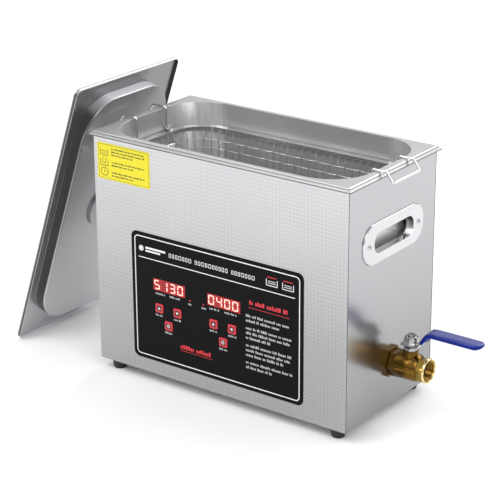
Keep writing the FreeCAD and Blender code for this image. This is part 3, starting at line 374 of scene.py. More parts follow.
def plastic(name, colour, rough, spread=0.08, scale=300.0, bump=0.0, coat=0.0, specular=0.5):
    """Moulded or painted surface with slight mottling and uneven gloss."""
    tree = Tree(name, colour, rough, 0.0)
    mottle = tree.noise(scale)
    tree.tint(mottle, shade(colour, 1 - spread), shade(colour, 1 + spread))
    tree.rough(tree.noise(scale / 7), rough * 0.88, rough * 1.12)
    if bump:
        tree.bump(mottle, bump, 0.0002)
    tree.shader.inputs["Specular IOR Level"].default_value = specular
    tree.shader.inputs["Coat Weight"].default_value = coat
    tree.shader.inputs["Coat Roughness"].default_value = 0.12
    return tree.material


def cast_brass(name, colour, rough):
    """Brass with a tumbled, slightly pitted skin, clouded darker and lighter at random."""
    tree = Tree(name, colour, rough, 1.0)
    cloud = tree.noise(160.0, detail=6.0)
    tree.tint(cloud, shade(colour, 0.78), shade(colour, 1.12), 0.36, 0.62)
    tree.rough(cloud, rough * 1.25, rough * 0.75)
    tree.bump(tree.noise(1500.0, detail=3.0), 0.18, 0.0002)
    return tree.material


def lamp(name, colour, strength, edge):
    """Lit display surface whose glow falls off unevenly."""
    tree = Tree(name, shade(colour, 0.4), 0.35, 0.0)
    glow = tree.ramp(tree.noise(edge, detail=2.0), ((0.3, shade(colour, 0.8)), (0.7, colour)))
    tree.link(glow, tree.shader.inputs["Emission Color"])
    tree.shader.inputs["Emission Strength"].default_value = strength
    return tree.material


def board_green(name):
    """Circuit board lacquer with copper tracks showing under it."""
    colour = (0.02, 0.16, 0.07)
    tree = Tree(name, colour, 0.3, 0.0)
    tracks = tree.node("ShaderNodeTexBrick")
    tracks.inputs["Scale"].default_value = 220.0
    tracks.inputs["Color1"].default_value = (*colour, 1)
    tracks.inputs["Color2"].default_value = (0.03, 0.24, 0.10, 1)
    tracks.inputs["Mortar"].default_value = (0.01, 0.09, 0.04, 1)
    tree.link(tree.place, tracks.inputs["Vector"])
    tree.link(tracks.outputs["Color"], tree.shader.inputs["Base Color"])
    tree.rough(tree.noise(200.0), 0.25, 0.4)
    return tree.material


def make_materials():
    grey = (0.52, 0.52, 0.53)
    return {
        "linen": linen_steel_with_painted_shade("linen_steel_front_painted_shade", (0.53, 0.53, 0.54), 0.33, "X"),
        "sheet": side_steel_with_painted_shade("smooth_side_steel_painted_shade", (0.42, 0.42, 0.43), 0.24),
        "tank": tank_steel_with_painted_lip("drawn_tank_steel_painted_lip", (0.74, 0.74, 0.75), 0.34),
        "lid": lid_steel_with_painted_light("drawn_lid_steel_painted_light", (0.40, 0.40, 0.41), 0.24),
        "polished": steel("polished_steel", (0.60, 0.60, 0.61), 0.12, spread=0.03, bump=0.02),
        "wire": steel("wire_steel", (0.70, 0.70, 0.70), 0.18, spread=0.10),
        "mesh": steel("mesh_wire_steel", (0.62, 0.62, 0.63), 0.30, spread=0.16),
        "base": steel("base_steel", grey, 0.4, (0.1, 1, 1)),
        # painted shadow: a dark strip that stands in for the shade in the gaps at the upright corners
        "gap_shadow": steel("seam_shadow", (0.10, 0.10, 0.10), 0.5, spread=0.2),
        "screw": steel("screw_steel", (0.62, 0.62, 0.63), 0.16, spread=0.12),
        "nickel": steel("valve_steel", (0.40, 0.39, 0.38), 0.10, spread=0.14, bump=0.1),
        "aluminium": steel("aluminium", (0.66, 0.67, 0.69), 0.34, spread=0.08, bump=0.15),
        "rubber": plastic("black_rubber", (0.012, 0.012, 0.013), 0.55, 0.25, 420.0, 0.3),
        "film": plastic("overlay_film", (0.006, 0.006, 0.0065), 0.36, 0.16, 900.0, 0.06, specular=0.06),
        "white_ink": plastic("white_ink", (0.83, 0.83, 0.84), 0.45, 0.05, 1500.0),
        "grey_ink": plastic("grey_ink", (0.42, 0.42, 0.43), 0.45, 0.12, 1500.0),
        "red_ink": plastic("red_ink", (0.62, 0.02, 0.03), 0.42, 0.12, 1500.0),
        "key_red": plastic("key_red", (0.56, 0.012, 0.022), 0.28, 0.14, 500.0, 0.05, 0.4),
        "key_dark": plastic("key_dark", (0.10, 0.006, 0.010), 0.4, 0.3, 900.0),
        "label": plastic("label_yellow", (0.76, 0.66, 0.012), 0.42, 0.05, 500.0, 0.05),
        "dark_ink": plastic("dark_ink", (0.05, 0.045, 0.02), 0.5, 0.2, 1500.0),
        "lens": lamp("display_glow", (0.75, 0.008, 0.012), 0.18, 150.0),
        "digit": lamp("display_digits", (1.0, 0.42, 0.36), 2.3, 400.0),
        "unlit": plastic("unlit_segments", (0.22, 0.006, 0.010), 0.4, 0.2, 900.0),
        # partly the real cast and machined finishes, partly painted light: the cast body is darkened to stand
        # in for dark reflections, the outlet hexagon lightened where it faces up towards the light
        "brass": cast_brass("cast_brass", (0.17, 0.092, 0.017), 0.20),
        "cut_brass_painted_lighter": cast_brass("cut_brass_painted_lighter", (0.36, 0.235, 0.055), 0.24),
        "bright_brass": cast_brass("machined_brass", (0.90, 0.70, 0.34), 0.16),
        "vinyl": vinyl_with_painted_sheen("blue_vinyl", (0.006, 0.018, 0.20), 0.22),
        "seat": plastic("filled_ptfe", (0.10, 0.085, 0.06), 0.45, 0.10, 400.0),
        "ptfe": plastic("ptfe", (0.82, 0.82, 0.80), 0.4, 0.04, 200.0),
        "black": plastic("black_plastic", (0.022, 0.022, 0.024), 0.42, 0.2, 700.0, 0.2),
        "board": board_green("board_green"),
        "piezo": plastic("piezo_ceramic", (0.32, 0.27, 0.21), 0.5, 0.1, 400.0),
        "silicone": plastic("heater_silicone", (0.62, 0.13, 0.04), 0.6, 0.12, 350.0, 0.2),
    }


KEYS = ("key_temperature_up", "key_temperature_down", "key_heat", "key_time_up", "key_time_down", "key_timer")
NODE_FINISH = {
    "linen": ("front_panel", "rear_panel"), "sheet": ("side_panel_left", "side_panel_right"),
    "base": ("base_plate",), "tank": ("tank",), "lid": ("lid_shell",),
    "polished": ("handle_plate_left", "handle_plate_right", "lid_handle"),
    "wire": ("basket_handle_left", "basket_handle_right", "fan_guard", "basket_rim"),
    "screw": ("foot_screws", "rear_screws", "clamp_bolts", "transducer_back_masses"),
    "nickel": ("valve_stem", "packing_nut", "lever", "inlet_pins", "valve_ball"),
    "rubber": ("rubber_feet",), "film": ("control_overlay",), "label": ("instruction_label",),
    "lens": ("led_displays",), "brass": ("valve_body", "valve_insert", "drain_fitting", "drain_locknut"),
    "seat": ("seat_rings",), "ptfe": ("board_spacers",), "board": ("control_board", "generator_board"),
    "black": ("fan_frame", "fan_rotor", "power_inlet", "fuse_drawer", "switch_housing", "switch_rocker",
              "tact_switches", "board_components", "temperature_sensor"),
    "aluminium": ("transducer_horns", "heatsink", "drain_pipe"), "piezo": ("piezo_rings",),
    "silicone": ("heater_pads",), "key_red": KEYS,
}

# radius of the softened edges of the pieces that show
EDGE_MM = {"rubber_feet": 0.7, "valve_body": 0.5, "tank": 0.5, "lever": 0.3,
           "switch_housing": 0.4, "power_inlet": 0.4, "fuse_drawer": 0.3}


def finish_nodes(finish):
    for name, nodes in NODE_FINISH.items():
        for node in nodes:
            thing = frame["nodes"][node]
            for slot in thing.material_slots:
                slot.material = finish[name]
            if not thing.material_slots:
                thing.data.materials.append(finish[name])
    for node, radius in EDGE_MM.items():
        thing = frame["nodes"][node]
        weld = thing.modifiers.new("weld", "WELD")
        weld.merge_threshold = 0.01 * MM
        bevel = thing.modifiers.new("soft_edges", "BEVEL")
        bevel.width = radius * MM
        bevel.segments = 2
        bevel.limit_method = "ANGLE"
        bevel.angle_limit = math.radians(34)
        bevel.harden_normals = True


# ---- mesh helpers

def piece(name, vertices, faces, material, body, sharp=32.0):
    mesh = bpy.data.meshes.new(name)
    mesh.from_pydata([tuple(v) for v in vertices], [], faces)
    mesh.validate()
    made = bmesh.new()
    made.from_mesh(mesh)
    bmesh.ops.recalc_face_normals(made, faces=made.faces)
    made.to_mesh(mesh)
    made.free()
    mesh.shade_smooth()
    mesh.set_sharp_from_angle(angle=math.radians(sharp))
    mesh.materials.append(material)
    thing = bpy.data.objects.new(name, mesh)
    scene.collection.objects.link(thing)
    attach(thing, body)
    return thing


class Solid:
    """Vertices and faces of one piece, gathered from tubes, turned profiles and prisms."""

    def __init__(self):
        self.vertices, self.faces = [], []

    def add(self, vertices, faces):
        first = len(self.vertices)
        self.vertices += vertices
        self.faces += [tuple(first + i for i in face) for face in faces]

    def rings(self, rings, closed=False):
        """Skin over rings of equal point counts, capped unless it closes on itself."""
        count = len(rings[0])
        steps = len(rings) if closed else len(rings) - 1
        faces = []
        for i in range(steps):
            a, b = i * count, ((i + 1) % len(rings)) * count
            for j in range(count):
                k = (j + 1) % count
                faces.append((a + j, a + k, b + k, b + j))
        if not closed:
            last = (len(rings) - 1) * count
            faces.append(tuple(range(count))[::-1])
            faces.append(tuple(last + j for j in range(count)))
        self.add([point for ring in rings for point in ring], faces)

    def tube(self, points, radius, sides=8, closed=False):
        rings = []
        count = len(points)
        side = None
        for i, point in enumerate(points):
            before = points[i - 1] if i or closed else point
            after = points[(i + 1) % count] if i < count - 1 or closed else point
            ahead = (after - before).normalized()
            if side is None:
                side = ahead.orthogonal().normalized()
            side = (side - ahead * side.dot(ahead)).normalized()
            other = ahead.cross(side)
            turns = [2 * math.pi * j / sides for j in range(sides)]
            rings.append([point + (side * math.cos(t) + other * math.sin(t)) * radius for t in turns])
        self.rings(rings, closed)

    def turned(self, centre, axis, profile, sides, closed=False):
        """Solid or ring of revolution: profile is (distance along the axis, radius) in millimetres."""
        axis = Vector(axis).normalized()
        side = axis.orthogonal().normalized()
        other = axis.cross(side)
        turns = [2 * math.pi * j / sides for j in range(sides)]
        self.rings([[centre + axis * along * MM + (side * math.cos(t) + other * math.sin(t)) * radius * MM
                     for t in turns] for along, radius in profile], closed)

    def make(self, name, material, body, slot, sharp=32.0):
        return piece(name, self.vertices, self.faces, material, body, sharp)


# gaps between blocks and between groups of blocks in a row of blank wording, as shares of its height
LETTER_GAP, WORD_GAP = 0.32 * 0.5, 0.32 * 1.6


class Print:
    """Raised flat artwork on a front face: u to the right, v up, in millimetres from its origin."""

    def __init__(self, origin, raised_mm=0.06):
        self.origin = Vector(origin)
        self.raised = raised_mm * MM
        self.solid = Solid()

    def spot(self, u, v, level=0.0):
        return self.origin + Vector((u * MM, -level, v * MM))

    def polygon(self, points):
        low = [self.spot(u, v) for u, v in points]
        high = [self.spot(u, v, self.raised) for u, v in points]
        self.solid.rings([low, high])

    def bar(self, u, v, wide, high):
        self.polygon([(u, v), (u + wide, v), (u + wide, v + high), (u, v + high)])

    def ring(self, outer, inner):
        rings = []
        for outline, level in ((outer, 0.0), (outer, self.raised), (inner, self.raised), (inner, 0.0)):
            rings.append([self.spot(u, v, level) for u, v in outline])
        self.solid.rings(rings, closed=True)

    def frame(self, u, v, wide, high, radius, line):
        outer = rounded_outline(u, v, wide, high, radius)
        inner = rounded_outline(u + line, v + line, wide - 2 * line, high - 2 * line,
                                max(radius - line, 0.05))
        self.ring(outer, inner)

    def disc(self, u, v, radius, sides=20):
        turns = [2 * math.pi * i / sides for i in range(sides)]
        self.polygon([(u + radius * math.cos(t), v + radius * math.sin(t)) for t in turns])

    def line(self, points, wide):
        """Broken line of square-ended strokes."""
        for (u0, v0), (u1, v1) in zip(points, points[1:]):
            along = Vector((u1 - u0, v1 - v0)).normalized() * wide / 2
            du, dv = along.y, -along.x
            self.polygon([(u0 + du, v0 + dv), (u1 + du, v1 + dv), (u1 - du, v1 - dv), (u0 - du, v0 - dv)])

    def text_row(self, u, v, wide, high):
        """Row of plain blocks in word-like groups, which says nothing."""
        at = u
        while at < u + wide - high * 0.6:
            letters = dice.randint(2, 7)
            for _ in range(letters):
                block = high * dice.uniform(0.34, 0.62)
                if at + block > u + wide:
                    return
                self.bar(at, v, block, high * dice.choice((0.72, 0.72, 1.0)))
                at += block + high * LETTER_GAP
            at += high * WORD_GAP

    def make(self, name, material, body, slot):
        return self.solid.make(name, material, body, slot)


def rounded_outline(u, v, wide, high, radius, steps=6):
    points = []
    for cu, cv, start in ((u + wide - radius, v + high - radius, 0), (u + radius, v + high - radius, 90),
                          (u + radius, v + radius, 180), (u + wide - radius, v + radius, 270)):
        for i in range(steps + 1):
            turn = math.radians(start + 90 * i / steps)
            points.append((cu + radius * math.cos(turn), cv + radius * math.sin(turn)))
    return points


def front_print(node):
    return Print(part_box(node)[0])


# ---- control panel artwork

PANEL = {
    "border_inset": 4.2, "border_line": 1.1, "border_radius": 5.0,
    "rule_u": 9.6, "rule_v": 117.6, "rule_wide": 204.0, "rule_high": 0.9,
    "head_v": 125.2, "mark_u": 10.2, "mark_high": 6.4,
    "title_u": 51.0, "title_high": 4.6, "letter_gap": 1.5, "word_gap": 3.4,
    "note_u": 151.8, "note_v": 86.0, "note_wide": 60.0, "note_high": 3.0, "note_step": 5.45, "group_gap": 3.1,
}
TITLE_WORDS, TITLE_LETTERS = (7, 10, 7), (2.6, 3.0, 3.6)
TITLE_RADIUS, TITLE_LINE = 0.5, 0.62
BATH_PLACES = (178.0, 198.2)
NOTE_LINES = (2, 3, 3, 2)
# u, v, width and height of each row of red wording, with the line under it
RED_ROWS = ((156.4, 97.6, 50.0, 4.8), (64.8, 24.2, 44.6, 4.6))
RED_LINES = ((155.0, 93.8, 52.0, 0.5), (64.6, 21.7, 43.0, 0.5))
# captions under the displays, and the two small lamps between them
CAPTIONS, CAPTION_V, CAPTION_HIGH = ((32.0, 13.0), (51.0, 15.0), (104.5, 14.0), (124.0, 16.0)), 79.6, 2.4
LAMPS, LAMP_V, LAMP_RADIUS, LAMP_CAPTION = (76.0, 94.0), 82.6, 1.0, (77.4, 6.0, 2.6)
KEY_CAPTION = {"wide": 10.8, "drop": 9.3, "high": 2.3}


def make_panel_print(finish):
    white, grey, red = (front_print("control_overlay") for _ in range(3))
    low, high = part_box("control_overlay")
    wide, tall = (high.x - low.x) / MM, (high.z - low.z) / MM
    inset, radius, line = PANEL["border_inset"], PANEL["border_radius"], PANEL["border_line"]
    white.frame(inset, inset, wide - 2 * inset, tall - 2 * inset, radius, line)
    head = PANEL["head_v"]
    white.bar(PANEL["rule_u"], PANEL["rule_v"], PANEL["rule_wide"], PANEL["rule_high"])
    draw_mark(white, PANEL["mark_u"], head - 0.2, PANEL["mark_high"])
    at = PANEL["title_u"]
    for letters in TITLE_WORDS:
        for _ in range(letters):
            block = dice.choice(TITLE_LETTERS)
            white.frame(at, head + 0.4, block, PANEL["title_high"], TITLE_RADIUS, TITLE_LINE)
            at += block + PANEL["letter_gap"]
        at += PANEL["word_gap"]
    for u in BATH_PLACES:
        draw_bath(white, red, u, head - 0.6)
    v, step, row_high = PANEL["note_v"], PANEL["note_step"], PANEL["note_high"]
    for lines in NOTE_LINES:
        for i in range(lines):
            share = dice.uniform(0.5, 0.8) if i == lines - 1 else dice.uniform(0.9, 1.0)
            grey.text_row(PANEL["note_u"], v - row_high, PANEL["note_wide"] * share, row_high)
            v -= step
        v -= PANEL["group_gap"]
    for row, underline in zip(RED_ROWS, RED_LINES):
        red.text_row(*row)
        red.bar(*underline)
    for u, caption_wide in CAPTIONS:
        grey.text_row(u, CAPTION_V, caption_wide, CAPTION_HIGH)
    for u in LAMPS:
        grey.text_row(u, *LAMP_CAPTION)
        red.disc(u + 2.5, LAMP_V, LAMP_RADIUS)
    for key in KEYS:
        at = middle(key)
        u, v = (at.x - low.x) / MM, (at.z - low.z) / MM
        caption_wide = KEY_CAPTION["wide"]
        grey.text_row(u - caption_wide / 2, v - KEY_CAPTION["drop"], caption_wide, KEY_CAPTION["high"])
    white.make("panel_print_white", finish["white_ink"], "cabinet", "overlay_film")
    grey.make("panel_print_grey", finish["grey_ink"], "cabinet", "overlay_film")
    red.make("panel_print_red", finish["red_ink"], "cabinet", "red_key")


# the bars of the mark: foot and height as shares of its height, and width
MARK_BARS, MARK_GAP, MARK_RING = ((0.58, 0.36, 27.0), (0.06, 0.30, 20.0)), 2.6, 0.9


def draw_mark(ink, u, v, high):
    """Generic mark: a disc in a ring, then two stacked bars."""
    ink.disc(u + high / 2, v + high / 2, high * 0.28)
    outer = rounded_outline(u, v, high, high, high / 2 - 0.01)
    hole = high - 2 * MARK_RING
    inner = rounded_outline(u + MARK_RING, v + MARK_RING, hole, hole, high / 2 - 0.92)
    ink.ring(outer, inner)
    for foot, share, wide in MARK_BARS:
        ink.bar(u + high + MARK_GAP, v + high * foot, wide, high * share)


BATH_WIDE, BATH_DEEP = 13.6, 7.0


def draw_bath(ink, red, u, v):
    """Small bath with two ripples and a lid bar over it."""
    left, right, rim = u, u + BATH_WIDE, v + BATH_DEEP
    ink.line([(left, rim), (left, v), (right, v), (right, rim)], 0.8)
    for level in (2.2, 4.4):
        crest = [(u + 2.0 + 1.6 * i, v + level + (0.7 if i % 2 else 0.0)) for i in range(7)]
        ink.line(crest, 0.6)
    red.bar(left + 1.0, v + 8.6, BATH_WIDE - 2.0, 1.0)


SEGMENTS = {"0": "abcdef", "1": "bc", "3": "abcdg", "4": "bcfg", "5": "acdfg"}
DIGIT = {"wide": 7.4, "high": 10.6, "stroke": 1.25, "pitch": 10.45, "margin": 1.4}
DISPLAY_WIDE = 42.9


def make_displays(finish):
    """Seven-segment digits standing just off the two lit display faces."""
    low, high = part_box("led_displays")
    lit, unlit = Print(low, 0.12), Print(low, 0.08)
    second = (high.x - low.x) / MM - DISPLAY_WIDE
    foot = ((high.z - low.z) / MM - DIGIT["high"]) / 2
    for start, digits in ((0.0, "5130"), (second, "0400")):
        for i, digit in enumerate(digits):
            draw_digit(lit, unlit, start + DIGIT["margin"] + DIGIT["pitch"] * i, foot, SEGMENTS[digit])
    lit.make("display_digits", finish["digit"], "cabinet", "display_lens")
    unlit.make("display_unlit_segments", finish["unlit"], "cabinet", "display_lens")


def draw_digit(lit, unlit, u, v, segments):
    """Seven bars with pointed ends, each drawn in the lit or the unlit ink."""
    w, h, s = DIGIT["wide"], DIGIT["high"], DIGIT["stroke"]
    half = h / 2 - 0.6
    bars = {"a": (u + s, v + h - s, w - 2 * s, s), "g": (u + s, v + h / 2 - s / 2, w - 2 * s, s),
            "d": (u + s, v, w - 2 * s, s), "f": (u, v + h / 2 + 0.3, s, half),
            "b": (u + w - s, v + h / 2 + 0.3, s, half), "e": (u, v + 0.3, s, half),
            "c": (u + w - s, v + 0.3, s, half)}
    tip = s * 0.4
    for name, (bu, bv, wide, high) in bars.items():
        right, top, mid_u, mid_v = bu + wide, bv + high, bu + wide / 2, bv + high / 2
        if wide > high:
            outline = [(bu, mid_v), (bu + tip, bv), (right - tip, bv), (right, mid_v),
                       (right - tip, top), (bu + tip, top)]
        else:
            outline = [(bu, bv + tip), (mid_u, bv), (right, bv + tip), (right, top - tip),
                       (mid_u, top), (bu, top - tip)]
        (lit if name in segments else unlit).polygon(outline)


# width, corner radius and line of the square on a key's face and of the ring of a power sign
KEY_SQUARE, POWER_RING = (7.8, 1.2, 0.7), (3.6, 1.7, 0.6)
KEY_WINDOW, KEY_WINDOW_RADIUS = 7.0, 1.0


def make_key_faces(finish):
    """Bright square, dark window and an arrow or a power sign on each key."""
    for key in KEYS:
        low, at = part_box(key)[0], middle(key)
        body = key + "_button"
        face, dark, symbol = (Print((at.x, low.y, at.z), raised) for raised in (0.08, 0.05, 0.1))
        wide, radius, line = KEY_SQUARE
        face.frame(-wide / 2, -wide / 2, wide, wide, radius, line)
        corner = -KEY_WINDOW / 2
        dark.polygon(rounded_outline(corner, corner, KEY_WINDOW, KEY_WINDOW, KEY_WINDOW_RADIUS))
        if key.endswith("_up"):
            symbol.polygon([(-1.7, -1.2), (1.7, -1.2), (0, 1.8)])
        elif key.endswith("_down"):
            symbol.polygon([(-1.7, 1.2), (0, -1.8), (1.7, 1.2)])
        else:
            wide, radius, line = POWER_RING
            symbol.frame(-wide / 2, -wide / 2, wide, wide, radius, line)
            symbol.bar(-0.35, 0.2, 0.7, 2.4)
        face.make(key + "_edge_line", finish["key_red"], body, "red_key")
        dark.make(key + "_window", finish["key_dark"], body, "red_key")
        symbol.make(key + "_symbol", finish["white_ink"], body, "red_key")


LABEL = {"edge": 1.4, "edge_radius": 1.0, "edge_line": 0.35, "margin": 3.0, "sign_u": 4.2, "sign_wide": 10.4,
         "text_u": 19.5, "text_end": 4.5, "text_high": 1.9, "text_step": 3.4}
LABEL_LINES = (2, 2, 3)


def make_label_print(finish):
    """Border, three signs and rows of blank wording on the yellow label."""
    ink = front_print("instruction_label")
    low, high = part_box("instruction_label")
    wide, tall = (high.x - low.x) / MM, (high.z - low.z) / MM
    edge = LABEL["edge"]
    ink.frame(edge, edge, wide - 2 * edge, tall - 2 * edge, LABEL["edge_radius"], LABEL["edge_line"])
    row_high = (tall - 2 * LABEL["margin"]) / len(LABEL_LINES)
    text_wide = wide - LABEL["text_u"] - LABEL["text_end"]
    for row, lines in enumerate(LABEL_LINES):
        v = LABEL["margin"] + row * row_high
        draw_label_sign(ink, LABEL["sign_u"], v + 0.9, LABEL["sign_wide"], row_high - 2.2, row)
        for i in range(lines):
            share = 0.62 if i == 0 else 0.95
            text_v = v + 1.6 + i * LABEL["text_step"]
            ink.text_row(LABEL["text_u"], text_v, text_wide * share, LABEL["text_high"])
    ink.make("instruction_label_print", finish["dark_ink"], "cabinet", "label_film")


def draw_label_sign(ink, u, v, wide, high, kind):
    """One of three plain pictures: a clock, a basket going in, a filled bath."""
    if kind == 0:
        ink.frame(u, v, wide, high, high / 2.1, 0.7)
        across, centre = u + wide / 2, v + high / 2
        ink.line([(across, v + high * 0.8), (across, centre), (u + wide * 0.7, centre)], 0.6)
        return
    ink.line([(u, v + high * 0.75), (u, v), (u + wide, v), (u + wide, v + high * 0.75)], 0.7)
    if kind == 1:
        left, right, low = u + wide * 0.3, u + wide * 0.7, v + high * 0.3
        ink.line([(left, v + high), (left, low), (right, low), (right, v + high)], 0.6)
    else:
        for level in (0.25, 0.5):
            ink.line([(u + 1.6, v + high * level), (u + wide - 1.6, v + high * level)], 0.6)


# ---- basket of woven wire

def rounded_loop(half_long, half_deep, corner):
    """Function of arc length round a rectangle with round corners, and its whole length."""
    straight_x, straight_y = half_long - corner, half_deep - corner
    quarter = math.pi * corner / 2
    spans = [2 * straight_x, quarter, 2 * straight_y, quarter] * 2
    total = sum(spans)

    def at(length):
        """Point and outward direction at a distance round the loop."""
        left = length % total
        for index, span in enumerate(spans):
            if left <= span or index == len(spans) - 1:
                break
            left -= span
        side = index // 2
        turn = math.radians(-90 + 90 * side)
        centres = [(straight_x, -straight_y), (straight_x, straight_y), (-straight_x, straight_y),
                   (-straight_x, -straight_y)]
        if index % 2 == 0:
            out = Vector((math.cos(turn), math.sin(turn), 0))
            along = Vector((-out.y, out.x, 0))
            end = Vector((*centres[side], 0)) + out * corner
            return end - along * (span - left), out
        turn += left / corner
        out = Vector((math.cos(turn), math.sin(turn), 0))
        return Vector((*centres[side], 0)) + out * corner, out

    return at, total


BASKET = {"wire": 0.45 * MM, "upright_pitch": 9.3 * MM, "hoop_pitch": 10.4 * MM, "floor_pitch": 9.6 * MM,
          "corner": 34.0 * MM, "flare": 2.0 * MM}


def make_woven_basket(finish):
    low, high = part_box("basket_wall_mesh")
    centre = Vector(((low.x + high.x) / 2, (low.y + high.y) / 2, 0))
    wire, corner = BASKET["wire"], BASKET["corner"]
    weave = wire * 1.02
    half_long, half_deep = (high.x - low.x) / 2 - 2 * wire, (high.y - low.y) / 2 - 2 * wire
    at, total = rounded_loop(half_long, half_deep, corner)
    uprights = 2 * round(total / BASKET["upright_pitch"] / 2)
    step = total / uprights
    floor = low.z + wire
    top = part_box("basket_rim")[0].z + 0.8 * MM
    hoops = round((top - floor) / BASKET["hoop_pitch"])
    rise = (top - floor) / hoops
    walls = Solid()
    for i in range(uprights):
        spot, out = at(i * step)
        sign = 1 if i % 2 else -1
        points = []
        for k in range(2 * hoops + 1):
            level = k * rise / 2
            lean = weave * sign * math.cos(math.pi * k / 2)
            if k == 2 * hoops:
                lean = BASKET["flare"]
            points.append(centre + spot + out * lean + Vector((0, 0, floor + level)))
        walls.tube(points, wire, 6)
    for j in range(hoops):
        sign = -1 if j % 2 else 1
        points = []
        for k in range(2 * uprights):
            spot, out = at(k * step / 2)
            lean = weave * sign * math.cos(math.pi * k / 2)
            points.append(centre + spot + out * lean + Vector((0, 0, floor + j * rise)))
        walls.tube(points, wire, 6, closed=True)
    walls.make("woven_basket_wall", finish["mesh"], "basket", "wire_steel", 80.0)
    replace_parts(bpy.data.objects["woven_basket_wall"], "basket_wall_mesh")
    base = Solid()
    long_count = round(2 * half_long / BASKET["floor_pitch"])
    deep_count = round(2 * half_deep / BASKET["floor_pitch"])

    def reach(offset, half_along, half_across):
        """How far a floor wire runs before it meets the round corner."""
        into = abs(offset) - (half_across - corner)
        cut = corner - math.sqrt(max(corner ** 2 - max(into, 0.0) ** 2, 0.0))
        return half_along - cut

    for half_across, across_count, half_along, along_count, phase in (
            (half_deep, deep_count, half_long, long_count, 1),
            (half_long, long_count, half_deep, deep_count, -1)):
        across_step, along_step = 2 * half_across / across_count, 2 * half_along / along_count
        for i in range(1, across_count):
            offset = -half_across + i * across_step
            end = reach(offset, half_along, half_across)
            points = []
            for k in range(2 * along_count + 1):
                along = -half_along + k * along_step / 2
                if abs(along) <= end:
                    lift = phase * weave * math.cos(math.pi * k / 2) * (1 if i % 2 else -1)
                    spot = (along, offset) if phase > 0 else (offset, along)
                    points.append(centre + Vector((*spot, floor + lift)))
            base.tube(points, wire, 6)
    floor_piece = base.make("woven_basket_floor", finish["mesh"], "basket", "wire_steel", 80.0)
    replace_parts(floor_piece, "basket_floor_mesh")


# ---- drain valve dressing

SLEEVE_END, SLEEVE_START, SLEEVE_TAPER = 8.5 * MM, 12.5 * MM, 14 * MM
SLEEVE_ROOT_HALF = 7.9 * MM


def make_sleeve(finish):
    """Dipped vinyl sleeve with turned-down edges, from the foot of the crank to a round end."""
    low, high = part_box("lever_sleeve")
    stem = middle("valve_stem")
    lever_low, lever_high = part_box("lever")
    root, grip = lever_low.z + 1.25 * MM, lever_high.z - 1.25 * MM
    end = high.x
    half_grip = (high.y - low.y) / 2
    line = [(stem.x + SLEEVE_START, root + 3.6 * MM), (stem.x + 17.0 * MM, root + 9.8 * MM),
            (stem.x + 20.4 * MM, root + 14.6 * MM), (stem.x + 22.6 * MM, grip - 1.1 * MM),
            (stem.x + 25.5 * MM, grip - 0.1 * MM), (stem.x + 30.0 * MM, grip), (end - 20.0 * MM, grip)]
    line += [(end - SLEEVE_END * math.cos(math.radians(turn)), grip) for turn in (0, 22, 42, 60, 75, 86)]
    rings = []
    for i, (x, z) in enumerate(line):
        before, after = line[max(i - 1, 0)], line[min(i + 1, len(line) - 1)]
        ahead = Vector((after[0] - before[0], 0, after[1] - before[1])).normalized()
        up = Vector((-ahead.z, 0, ahead.x))
        share = min(1.0, max(0.0, (x - stem.x - SLEEVE_START) / SLEEVE_TAPER))
        half = SLEEVE_ROOT_HALF + (half_grip - SLEEVE_ROOT_HALF) * share
        left = (end - x) / SLEEVE_END
        if left < 1.0:
            half *= math.sqrt(max(1 - (1 - left) ** 2, 0.02))
        skirt = (2.3 + 0.7 * share) * MM * min(1.0, 0.35 + left)
        rings.append([Vector((x, across, z)) + up * level for across, level in sleeve_section(half, skirt)])
    solid = Solid()
    solid.rings(rings)
    sleeve = solid.make("dipped_sleeve", finish["vinyl"], "valve_handle", "blue_vinyl", 60.0)
    soften = sleeve.modifiers.new("smooth", "SUBSURF")
    soften.levels = soften.render_levels = 2
    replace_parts(sleeve, "lever_sleeve")


def sleeve_section(half, skirt):
    """Section of the sleeve: crowned top, rolled edges turned down, hollow underneath."""
    wall, top = 1.7 * MM, 2.3 * MM
    right = [(half * 0.45, top), (half * 0.82, top * 0.86), (half, top * 0.15), (half, -skirt),
             (half - wall, -skirt - 0.3 * MM), (half - wall, -1.5 * MM), (half * 0.4, -1.5 * MM)]
    return [(-across, level) for across, level in reversed(right)] + right


def hexagon_nut(solid, centre, axis, flats_mm, high_mm, bore_mm):
    """Hexagonal nut with both ends chamfered to a round."""
    axis = Vector(axis)
    side = axis.orthogonal().normalized()
    other = axis.cross(side)
    chamfer = 0.09 * flats_mm
    turns = [2 * math.pi * j / 48 for j in range(48)]

    def ring(along, radius_at):
        """Points round the axis at one height, from a function of the turn."""
        middle_point = centre + axis * along * MM
        return [middle_point + (side * math.cos(t) + other * math.sin(t)) * radius_at(t) * MM for t in turns]

    def flat(turn):
        return flats_mm / 2 / math.cos((turn % (math.pi / 3)) - math.pi / 6)

    def rounded_off(turn):
        return min(flat(turn), flats_mm / 2 + chamfer * 0.35)

    def bore(_):
        return bore_mm

    inset = chamfer * 0.55
    solid.rings([ring(0.0, rounded_off), ring(inset, flat), ring(high_mm - inset, flat),
                 ring(high_mm, rounded_off), ring(high_mm, bore), ring(0.0, bore)], closed=True)


NUT_FLATS, NUT_COLLAR = 14.0, 1.6
